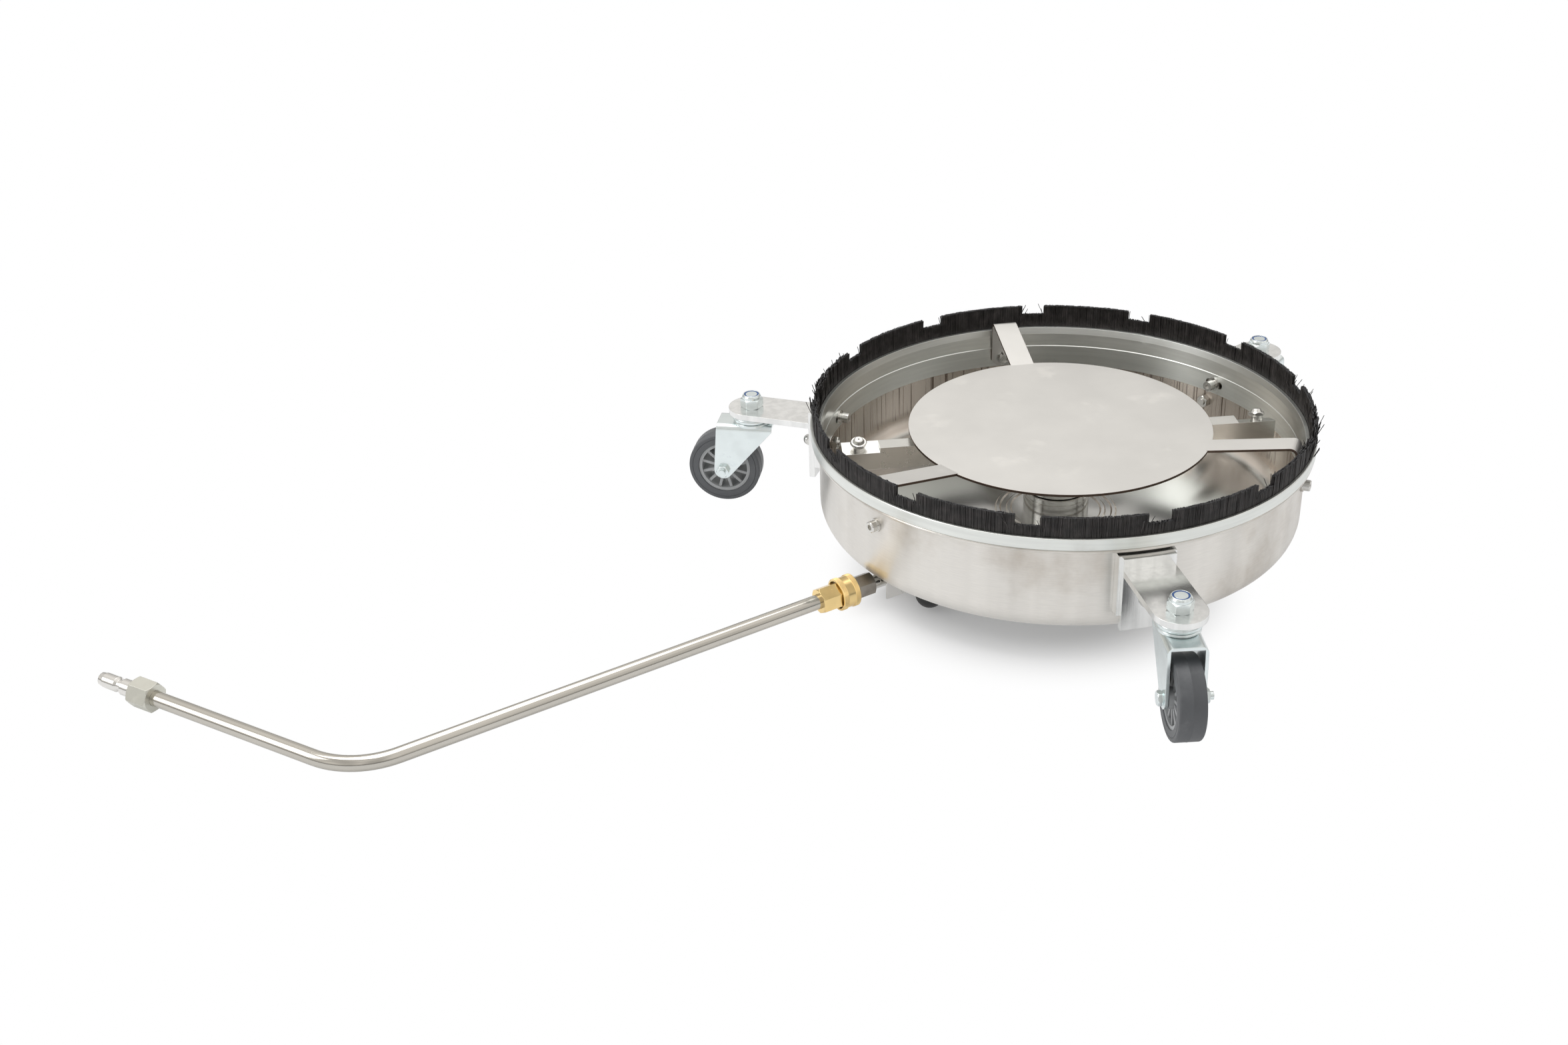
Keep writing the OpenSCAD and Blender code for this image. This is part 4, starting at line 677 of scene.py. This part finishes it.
def drawn_hood():
    """Stainless sheet: brushed outside, painted reflection streaks inside, a mirror at the bottom."""
    material, tree, output = fresh_material("drawn_hood")
    skin = dial(add(tree, "ShaderNodeBsdfPrincipled"), Metallic=1.0)
    brush_round(tree, skin, BRUSHED)
    zones = place_group(tree, ZONES)
    edges = place_group(tree, EDGES, Radius=0.4 * MM)
    stains = place_group(tree, SMUDGES, Size=8.0, Reach=0.56)
    brushing = place_group(tree, GRAIN, Stretch=(0.04, 0.04, 1), Fineness=2400.0,
                           Cloud_Size=160.0)
    streak_and_drift_grain = place_group(tree, GRAIN, Stretch=(1, 1, 0.012), Fineness=480.0,
                          Cloud_Size=30.0)
    # Upright streaks of painted reflection, kept to the straight inner wall.
    streak = ranged(tree, soft=True, From_Min=LINE_FROM, From_Max=LINE_FULL)
    painted_streaks = add(tree, "ShaderNodeMath", operation="MULTIPLY")
    lines = ranged(tree, From_Min=NOISE_LOW, From_Max=NOISE_HIGH, To_Min=BRUSH_TONE)
    lined = multiplied(tree)
    outer = mix_tones(tree, OUTSIDE, STAINED)
    inner = mix_tones(tree, AS_DRAWN, REFLECTION_STREAK)
    walls = add(tree, "ShaderNodeMix", data_type="RGBA")
    whole = add(tree, "ShaderNodeMix", data_type="RGBA")
    whole.inputs[OTHER].default_value = (*MIRROR, 1)
    drift = ranged(tree, From_Min=DRIFT_FROM, From_Max=DRIFT_TO, To_Min=DRIFT_TONE)
    toned = multiplied(tree)
    wall_rough = ranged(tree, To_Min=ROUGH_OUTSIDE, To_Max=ROUGH_INSIDE)
    rough = ranged(tree, To_Max=ROUGH_MIRROR)
    depth = ranged(tree, To_Min=BRUSH_DEPTH, To_Max=0.0)
    bump = dial(add(tree, "ShaderNodeBump"), Distance=RELIEF)
    link(tree,
         (stains.outputs["Mask"], outer.inputs[SHARE]),
         (streak_and_drift_grain.outputs["Height"], streak.inputs["Value"]),
         (streak.outputs[0], painted_streaks.inputs[0]),
         (zones.outputs["Upright"], painted_streaks.inputs[1]),
         (painted_streaks.outputs[0], inner.inputs[SHARE]),
         (brushing.outputs["Height"], lines.inputs["Value"]),
         (outer.outputs[MIXED], lined.inputs[ONE]),
         (lines.outputs[0], lined.inputs[OTHER]),
         (zones.outputs["Inside"], walls.inputs[SHARE]),
         (lined.outputs[MIXED], walls.inputs[ONE]),
         (inner.outputs[MIXED], walls.inputs[OTHER]),
         (streak_and_drift_grain.outputs["Cloud"], drift.inputs["Value"]),
         (walls.outputs[MIXED], toned.inputs[ONE]),
         (drift.outputs[0], toned.inputs[OTHER]),
         (zones.outputs["Level"], whole.inputs[SHARE]),
         (toned.outputs[MIXED], whole.inputs[ONE]),
         (whole.outputs[MIXED], skin.inputs["Base Color"]),
         (zones.outputs["Inside"], wall_rough.inputs["Value"]),
         (zones.outputs["Level"], rough.inputs["Value"]),
         (wall_rough.outputs[0], rough.inputs["To Min"]),
         (zones.outputs["Level"], depth.inputs["Value"]),
         (depth.outputs[0], bump.inputs["Strength"]))
    cover(tree, skin, output, rough, brushing.outputs["Height"], edges, bump)
    return material


FINISH["hood"] = drawn_hood()
print(FINISH["hood"].name)

# %% [markdown]
# ## Rubber and plastic
#
# Rubber and plastic scatter light inside, so they are not metallic. Moulding leaves a
# very fine pebble, and dust settles in as a lighter, rougher tone. Again one recipe
# serves the tyres, the hubs, the feet and the brush filaments.

# %% The recipe for a moulded part
DUST_ROUGHER, PEBBLE_DEPTH, MOULD_EDGE = 0.2, 0.10, 0.5 * MM


def moulded(name, tone, dusty, rough, pebble=1600, stretch=(1, 1, 1), cloud=40,
            smudge=60, reach=0.5):
    """Rubber or plastic with a fine pebble, dust and softened edges."""
    material, tree, output = fresh_material(name)
    skin = add(tree, "ShaderNodeBsdfPrincipled")
    lines = place_group(tree, GRAIN, Stretch=stretch, Fineness=pebble, Cloud_Size=cloud)
    marks = place_group(tree, SMUDGES, Size=smudge, Reach=reach)
    edges = place_group(tree, EDGES, Radius=MOULD_EDGE)
    dust = add(tree, "ShaderNodeMath", operation="MULTIPLY", use_clamp=True)
    colour = mix_tones(tree, tone, dusty)
    roughness = ranged(tree, To_Min=rough, To_Max=min(1, rough + DUST_ROUGHER))
    bump = dial(add(tree, "ShaderNodeBump"), Strength=PEBBLE_DEPTH, Distance=RELIEF)
    link(tree,
         (marks.outputs["Mask"], dust.inputs[0]),
         (lines.outputs["Cloud"], dust.inputs[1]),
         (dust.outputs[0], colour.inputs[SHARE]),
         (colour.outputs[MIXED], skin.inputs["Base Color"]),
         (marks.outputs["Mask"], roughness.inputs["Value"]))
    cover(tree, skin, output, roughness, lines.outputs["Height"], edges, bump)
    return material


FINISH["rubber"] = moulded("black_rubber", (0.022, 0.022, 0.022), (0.06, 0.055, 0.05),
                           0.55)
FINISH["tyre"] = moulded("grey_tyre_rubber", (0.105, 0.11, 0.117), (0.20, 0.205, 0.21),
                         0.44)
FINISH["hub_plastic"] = moulded("grey_moulding", (0.40, 0.41, 0.415), (0.48, 0.49, 0.495),
                                0.40)
FINISH["nylon"] = moulded("black_filament", (0.020, 0.018, 0.0175), (0.135, 0.12, 0.115),
                          0.40, stretch=(1, 1, 0.03), pebble=1200, cloud=330,
                          smudge=130, reach=0.66)
print(len(FINISH), "finishes")

# %% [markdown]
# ## Painting the solids
#
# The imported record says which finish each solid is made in. Painting from that list
# means that no piece can be forgotten, and a change of finish stays in one place.

# %% Every solid gets its finish
slot_of = {part["node"]: part["material_slot"]
           for part in frame["record"]["subparts"]}
OWN_FINISH = {"dish_shell": "hood", "brush_holder_ring": "ring", "rotor_arm": "arm_sheet",
              "lance_tube": "tube", "lance_nut": "satin_fitting", "inlet_pipe": "tube"}


def paint(piece, slot, finish=None):
    """Gives a piece one finish; the slot says what it is made of."""
    piece.data.materials.clear()
    piece.data.materials.append(FINISH[finish or slot])


for name, solid in solids.items():
    paint(solid, slot_of[name], OWN_FINISH.get(name))
print("painted:", len(solids))

# %% [markdown]
# ## Building a mesh from numbers
#
# The detailed pieces below are made of many small, regular faces. Listing corners and
# faces is the quickest way to make those, and it gives the same mesh every time.
# Shapes turned about an axis come from a profile and a ring of steps.

# %% From corners and faces to a piece
SHARP = math.radians(38)


def piece_from(name, corners, faces, slot, body, smooth=True):
    """A mesh in metres that rides on a body of the structure."""
    mesh = bpy.data.meshes.new(name)
    mesh.from_pydata(corners, [], faces)
    mesh.validate()
    if smooth:
        mesh.shade_smooth()
        mesh.set_sharp_from_angle(angle=SHARP)
    piece = bpy.data.objects.new(name, mesh)
    bpy.context.scene.collection.objects.link(piece)
    piece.data.materials.append(FINISH[slot])
    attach(piece, body)
    return piece


print("mesh helper ready")

# %% [markdown]
# ## The brush
#
# The real brush is a strip of black nylon filaments, pinched in a channel and bent
# into a hoop. Its edge is cut with thirteen notches that let the water out. Hair
# particles could make it, but thousands of small square rods are lighter, ride with
# the hood and export as they are. They stand in clumps, because filaments that leave
# the channel together stay together, and each is cut at a slightly different height.

# %% How the brush is laid out
brush_low, brush_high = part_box("brush_strip")
BRUSH_INNER, BRUSH_OUTER = 197.9 * MM, 200.9 * MM
FILAMENT = 0.42 * MM
NOTCHES, NOTCH_WIDTH, NOTCH_DEPTH = 13, 20 * MM, 7.5 * MM
FIRST_NOTCH = math.radians(3.5)
ROWS, PACKING, HEADROOM = 6, 1.16, 0.2 * MM
HIGHEST_TIP = brush_high.z - HEADROOM
RING = (BRUSH_INNER + BRUSH_OUTER) / 2
PER_ROW = int(2 * math.pi * RING / (FILAMENT * PACKING))
print("brush height", round((brush_high.z - brush_low.z) / MM, 1), "mm")


def brush_top(angle):
    """Height of the cut edge at this angle: lower inside a notch."""
    pitch = 2 * math.pi / NOTCHES
    off = (angle - FIRST_NOTCH + pitch / 2) % pitch - pitch / 2
    in_notch = abs(off) * RING < NOTCH_WIDTH / 2
    return brush_high.z - (NOTCH_DEPTH if in_notch else 0)


# %% One filament
SQUARE = ((1, 1), (-1, 1), (-1, -1), (1, -1))
OFF_LEVEL = 0.1


def filament(corners, faces, foot, tip, bow, thick, twist):
    """A square rod from foot to tip whose middle is pushed out by bow."""
    middle = (foot + tip) / 2 + bow
    along = (tip - foot).normalized()
    side = along.cross(Vector((math.cos(twist), math.sin(twist), OFF_LEVEL))).normalized()
    other = along.cross(side)
    start = len(corners)
    stations = [foot, tip] if bow.length < TINY else [foot, middle, tip]
    for station in stations:
        for a, b in SQUARE:
            corners.append(station + (side * a + other * b) * thick / 2)
    for level in range(len(stations) - 1):
        low = start + level * 4
        for k in range(4):
            faces.append((low + k, low + (k + 1) % 4, low + 4 + (k + 1) % 4, low + 4 + k))
    top = start + (len(stations) - 1) * 4
    faces.append((top, top + 1, top + 2, top + 3))


print("corners of a straight filament:", 2 * len(SQUARE))

# %% The rods of the strip, clump by clump
# Where the brush is worn: the middle and the width of each stretch.
WORN = [(math.radians(138), math.radians(13)), (math.radians(308), math.radians(12))]
CLUMP = 3, 12
# Spreads in millimetres: of a new brush, and what full wear adds.
NEW_LEAN, WORN_LEAN = 0.45, 2.6
NEW_SPREAD, WORN_SPREAD, WORN_OUT = 0.22, 1.3, 0.9
NEW_CUT, WORN_CUT = 0.5, 1.2
RAGGED_NOTCH, RAGGED_TOP = 0.75, 0.32
STEP_PLAY, ROW_PLAY, SWAY, TIP_PLAY = 0.2, 0.1, 0.22, 0.12


def wear(angle):
    """How splayed the brush is here: 0 as new, 1 in the middle of a worn stretch."""
    return max(math.exp(-((angle - middle) / width) ** 2) for middle, width in WORN)


def ways_at(angle):
    """The way outwards at this angle, and the way round the hoop."""
    out = Vector((math.cos(angle), math.sin(angle), 0))
    return out, Vector((-out.y, out.x, 0))


def standing_rods(rng):
    """Foot, tip and bow of each rod that stands in the strip."""
    straight = Vector((0, 0, 0))
    for row in range(ROWS):
        radius = BRUSH_INNER + (row + 0.5) * (BRUSH_OUTER - BRUSH_INNER) / ROWS
        step, k = 2 * math.pi / PER_ROW, 0
        while k < PER_ROW:
            clump = rng.randint(*CLUMP)
            worn = wear(k * step)
            lean = rng.gauss(0, NEW_LEAN + WORN_LEAN * worn) * MM
            spread = rng.gauss(WORN_OUT * worn, NEW_SPREAD + WORN_SPREAD * worn) * MM
            cut = rng.uniform(0, NEW_CUT + WORN_CUT * worn) * MM
            for k in range(k, min(k + clump, PER_ROW)):
                angle = k * step + rng.uniform(-STEP_PLAY, STEP_PLAY) * step
                r = radius + rng.uniform(-ROW_PLAY, ROW_PLAY) * MM
                out, round_way = ways_at(angle)
                foot = out * r + Vector((0, 0, brush_low.z))
                low_cut = brush_top(angle) < brush_high.z
                ragged = rng.gauss(0, RAGGED_NOTCH if low_cut else RAGGED_TOP)
                top = brush_top(angle) - cut - abs(ragged) * MM
                sway = lean + rng.gauss(0, SWAY) * MM
                tip = out * (r + spread + rng.gauss(0, TIP_PLAY) * MM) + round_way * sway
                tip.z = min(top, HIGHEST_TIP)
                yield foot, tip, straight
            k += 1


print("worn most at", [round(math.degrees(middle)) for middle, _ in WORN], "degrees")

# %% [markdown]
# A used brush is never neat. Some filaments have slipped out sideways, mostly beside a
# notch where nothing holds them, and they bow. These few catch the eye along the edge,
# so they are built one by one, from the same random source as the rest.

# %% A few rods that have strayed
STRAYS, IN_WEAR_EVERY = 150, 3
STRAY_LENGTH, STRAY_RISE, STRAY_FOOT = (0.72, 0.96), 0.75, 7 * MM
STRAY_LEAN, STRAY_BOW, STRAY_AT_NOTCH, STRAY_IN_WEAR = 0.22, -1.2, 0.012, 0.7
STRAY_OUT = 0.08, 0.14


def stray_rods(rng):
    """Foot, tip and bow of bent rods: most beside a notch, the others in worn places."""
    for number in range(STRAYS):
        if number % IN_WEAR_EVERY:
            notch, side = rng.randrange(NOTCHES), rng.choice((-1, 1))
            angle = (FIRST_NOTCH + notch * 2 * math.pi / NOTCHES
                     + side * (NOTCH_WIDTH / 2 / RING
                               + abs(rng.gauss(0, STRAY_AT_NOTCH))))
        else:
            middle, width = WORN[number % len(WORN)]
            angle = rng.gauss(middle, width * STRAY_IN_WEAR)
        out, round_way = ways_at(angle)
        length = (brush_high.z - brush_low.z) * rng.uniform(*STRAY_LENGTH)
        lean = rng.gauss(0, STRAY_LEAN)
        foot = out * rng.uniform(BRUSH_INNER, BRUSH_OUTER)
        foot += Vector((0, 0, brush_low.z + STRAY_FOOT))
        tip = foot + round_way * lean * length + out * rng.gauss(*STRAY_OUT) * length
        tip.z = min(foot.z + length * STRAY_RISE, HIGHEST_TIP)
        yield foot, tip, round_way * lean * STRAY_BOW * MM


print("strays:", STRAYS, "in a strip of", ROWS * PER_ROW)

# %% The whole hoop
SEED, TWIST = 7, 6.28


def brush_hoop():
    """Corners and faces of all the filaments, and which faces are cut ends."""
    rng = random.Random(SEED)
    corners, faces, ends = [], [], []
    for rods_of in (standing_rods, stray_rods):
        for foot, tip, bow in rods_of(rng):
            filament(corners, faces, foot, tip, bow, FILAMENT, rng.uniform(0, TWIST))
            ends.append(len(faces) - 1)
    return corners, faces, ends


rods, rod_faces, rod_ends = brush_hoop()
brush = piece_from("brush_filaments", rods, rod_faces, "nylon", "root", smooth=False)
FINISH["cut_end"] = moulded("cut_filament_end", (0.10, 0.10, 0.105), (0.2, 0.2, 0.2), 0.5)
brush.data.materials.append(FINISH["cut_end"])
for face in rod_ends:
    brush.data.polygons[face].material_index = 1
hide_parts("brush_strip")
print("faces in the brush:", len(brush.data.polygons))

# %% [markdown]
# ## The coupler's sleeve
#
# Fingers pull this brass sleeve back to free the lance, so both its ends are knurled:
# two sets of slanting grooves that cross and leave small diamonds. A bump map could
# fake it, but the diamonds break the outline, so they are real facets here. Each
# corner of a fine grid round the sleeve is sunk by the nearer of the two grooves.

# %% An axis in space, and how a solid lies along it
def spindle(joint):
    """The axis of a joint: a point, its direction and two directions across it."""
    way = Vector(joint["axis"]).normalized()
    across = way.cross(Vector((0, 0, 1)))
    side = across.normalized() if across.length > TINY else Vector((1, 0, 0))
    return Vector(joint["pos_m"]), way, side, side.cross(way)


def along_axis(axis, point):
    """Distance along the axis and out from it."""
    offset = Vector(point) - axis[0]
    along = offset.dot(axis[1])
    return along, (offset - axis[1] * along).length


END_FACE = 0.2 * MM


def span_on(axis, name, reach=1.0):
    """Start and end on an axis, the smallest radius at each, and the largest of all."""
    spots = [along_axis(axis, v.co) for v in solids[name].data.vertices]
    spots = [spot for spot in spots if spot[1] < reach]
    start, end = min(s[0] for s in spots), max(s[0] for s in spots)
    near = [r for s, r in spots if s < start + END_FACE]
    far = [r for s, r in spots if s > end - END_FACE]
    return start, end, min(near), min(far), max(r for _, r in spots)


lance = spindle(joints["lance_turn"])
sleeve_start, sleeve_end, bore_near, bore_far, sleeve_r = span_on(lance, "coupler_sleeve")
print("sleeve", [round(v / MM, 2) for v in (sleeve_start, sleeve_end, bore_near,
                                            bore_far, sleeve_r)])

# %% A ring of corners at each station
def turned_grid(axis, stations, steps, radius_at=None, closed=False, base=0):
    """Corners and faces round an axis; radius_at may change each corner's radius."""
    point, way, side, up = axis
    corners, faces = [], []
    for along, radius in stations:
        for k in range(steps):
            angle = 2 * math.pi * k / steps
            r = radius_at(along, radius, angle) if radius_at else radius
            corners.append(point + way * along + side * (r * math.cos(angle))
                           + up * (r * math.sin(angle)))
    rows = len(stations)
    for row in range(rows if closed else rows - 1):
        low, high = base + row * steps, base + (row + 1) % rows * steps
        for k in range(steps):
            j = (k + 1) % steps
            faces.append((low + k, low + j, high + j, high + k))
    return corners, faces


def knurl(along, angle, teeth, slant):
    """How deep the crossed grooves are here, from 0 on a diamond to 1."""
    turn = angle * teeth / (2 * math.pi)
    push = along * slant
    one = abs((turn + push) % 1 - 0.5) * 2
    two = abs((turn - push) % 1 - 0.5) * 2
    return max(one, two)


print("turned shapes ready")

# %% The knurled sleeve
TEETH, GROOVE, GROOVE_SHAPE, SLANT = 64, 0.55 * MM, 0.8, 0.62
BAND_SHARE, BAND_ROWS, STEPS_PER_TOOTH = 0.3, 30, 6
BAND = (sleeve_end - sleeve_start) * BAND_SHARE
CHAMFER, STEP, BORE_SHOWN = 0.8 * MM, 0.02 * MM, 2 * MM


def sleeve_profile():
    """Stations along the sleeve: bore, face, band, waist, band, face and bore."""
    rows = [(sleeve_start + BORE_SHOWN, bore_near), (sleeve_start, bore_near),
            (sleeve_start, sleeve_r - CHAMFER)]
    for start in (sleeve_start, sleeve_end - BAND):
        rows.append((start + STEP, sleeve_r - CHAMFER))
        for k in range(BAND_ROWS + 1):
            along = start + CHAMFER / 2 + (BAND - CHAMFER) * k / BAND_ROWS
            rows.append((along, sleeve_r))
        rows.append((start + BAND - STEP, sleeve_r - CHAMFER))
    rows += [(sleeve_end, sleeve_r - CHAMFER), (sleeve_end, bore_far),
             (sleeve_end - BORE_SHOWN, bore_far)]
    return rows


def sleeve_radius(along, radius, angle):
    """Sinks the corners that lie on the knurled bands."""
    if radius < sleeve_r - TINY:
        return radius
    slant = TEETH / (2 * math.pi * sleeve_r) * SLANT
    return radius - GROOVE * (1 - knurl(along, angle, TEETH, slant)) ** GROOVE_SHAPE


grid, grid_faces = turned_grid(lance, sleeve_profile(), TEETH * STEPS_PER_TOOTH,
                               sleeve_radius)
sleeve = piece_from("knurled_sleeve", grid, grid_faces, "brass", "sleeve", smooth=False)
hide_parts("coupler_sleeve")
print("faces in the sleeve:", len(sleeve.data.polygons))

# %% [markdown]
# ## Turned pieces of the casters
#
# Three things on each caster are round and softly shaped, and solids show them too
# plainly. The tyre is moulded in two halves: a thin line of flash stands on its tread,
# and a groove runs round each side. The swivel's race is a pressed cup with a bulging
# rim. And a blue nylon ring sits in the lock nut's collar, where it grips the thread.

# %% Tyres
CASTERS = "abc"
SHOULDER, BORE_CHAMFER = 1.7 * MM, 0.4 * MM
FLASH, FLASH_FOOT = 0.12 * MM, 0.3 * MM
SIDE_GROOVE = ((0, 3.9), (0.32, 3.75), (0.32, 3.45), (0, 3.3))
TYRE_STEPS, SHOULDER_DEGREES = 96, range(0, 91, 15)


def tyre_profile(start, end, bore, radius):
    """Closed outline of the tyre: side, groove, shoulder, tread, flash and back."""
    tread = radius - FLASH
    half = [(BORE_CHAMFER, bore), (0, bore + BORE_CHAMFER)]
    half += [(deep * MM, radius - below * MM) for deep, below in SIDE_GROOVE]
    for degrees in SHOULDER_DEGREES:
        turn = math.radians(degrees)
        half.append((SHOULDER * (1 - math.cos(turn)),
                     tread - SHOULDER * (1 - math.sin(turn))))
    middle = (end - start) / 2
    half += [(middle - FLASH_FOOT, tread), (middle - FLASH, radius)]
    front = [(start + along, r) for along, r in half]
    back = [(end - along, r) for along, r in reversed(half)]
    return front + back


for k in CASTERS:
    wheel = spindle(joints["wheel_spin_" + k])
    tyre_start, tyre_end, tyre_bore, _, tyre_r = span_on(wheel, "tyre_" + k)
    grid, grid_faces = turned_grid(
        wheel, tyre_profile(tyre_start, tyre_end, tyre_bore, tyre_r), TYRE_STEPS,
        closed=True)
    tyre = piece_from("moulded_tyre_" + k, grid, grid_faces, "tyre", "wheel_" + k)
    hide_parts("tyre_" + k)
print("tyre", [round(v / MM, 2) for v in (tyre_start, tyre_end, tyre_bore, tyre_r)])

# %% Races
RIM_SHARE, LIP, BULGE = 0.68, 3.0 * MM, 1.5 * MM
NECK, NECK_FROM, EASED = 1.5 * MM, 0.5 * MM, 0.2 * MM
CREASE_UP, CREASE_IN = 0.1 * MM, 0.4 * MM
STEM_REACH, RACE_STEPS, RIM_DEGREES = 40 * MM, 72, range(-80, 81, 20)


def race_profile(start, end, radius, bore):
    """Closed outline of the pressed race, from its lower lip round to its bore."""
    rim = (end - start) * RIM_SHARE
    rows = [(start, radius - LIP)]
    for degrees in RIM_DEGREES:
        turn = math.radians(degrees)
        rows.append((start + rim / 2 * (1 + math.sin(turn)),
                     radius - BULGE * (1 - math.cos(turn))))
    rows += [(start + rim + CREASE_UP, radius - NECK - CREASE_IN),
             (start + rim + NECK_FROM, radius - NECK), (end - EASED, radius - NECK),
             (end, radius - NECK - EASED), (end, bore),
             (start + rim, bore), (start + rim, radius - LIP)]
    return rows


def race_rows(stem):
    """Outline of the race on this stem, as large as the solid one."""
    start, end, _, bore, radius = span_on(stem, "swivel_races", STEM_REACH)
    return race_profile(start, end, radius, bore)


def on_every_stem(rows_for, steps):
    """The same turned shape round the stem of each caster, as one mesh."""
    corners, faces = [], []
    for k in CASTERS:
        stem = spindle(joints["caster_swivel_" + k])
        more, more_faces = turned_grid(stem, rows_for(stem), steps, closed=True,
                                       base=len(corners))
        corners += more
        faces += more_faces
    return corners, faces


races = piece_from("pressed_races", *on_every_stem(race_rows, RACE_STEPS), "zinc_steel",
                   "root")
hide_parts("swivel_races")
print("faces in the races:", len(races.data.polygons))

# %% Nylon rings
FINISH["blue_nylon"] = moulded("blue_nylon", (0.045, 0.12, 0.34), (0.10, 0.2, 0.42), 0.35)
RING_BORE, RING_OUTER, RING_DEEP = 5.08 * MM, 6.3 * MM, 1.3 * MM
RING_SUNK, RING_ROUND, RING_STEPS = 0.2 * MM, 0.3 * MM, 48
RING_BORE_FROM, RING_SIDE_FROM = 0.5 * MM, 0.4 * MM
nut_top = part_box("stem_nuts")[1].z


def ring_rows(stem):
    """Closed outline of the nylon ring, measured down from the top of the nut."""
    point, way = stem[:2]
    up = math.copysign(1, way.z)
    top, down = (nut_top - point.z) * up, -up
    return [(top + down * RING_DEEP, RING_BORE), (top + down * RING_BORE_FROM, RING_BORE),
            (top + down * RING_SUNK, RING_BORE + RING_ROUND),
            (top + down * RING_SUNK, RING_OUTER - RING_ROUND),
            (top + down * RING_SIDE_FROM, RING_OUTER),
            (top + down * RING_DEEP, RING_OUTER)]


rings = piece_from("nylon_rings", *on_every_stem(ring_rows, RING_STEPS), "blue_nylon",
                   "root")
print("nut tops at", round(nut_top / MM, 2), "mm")

# %% [markdown]
# ## The end
#
# The dressed object must stay as large as the structure.

# %% End
print("dressing done")
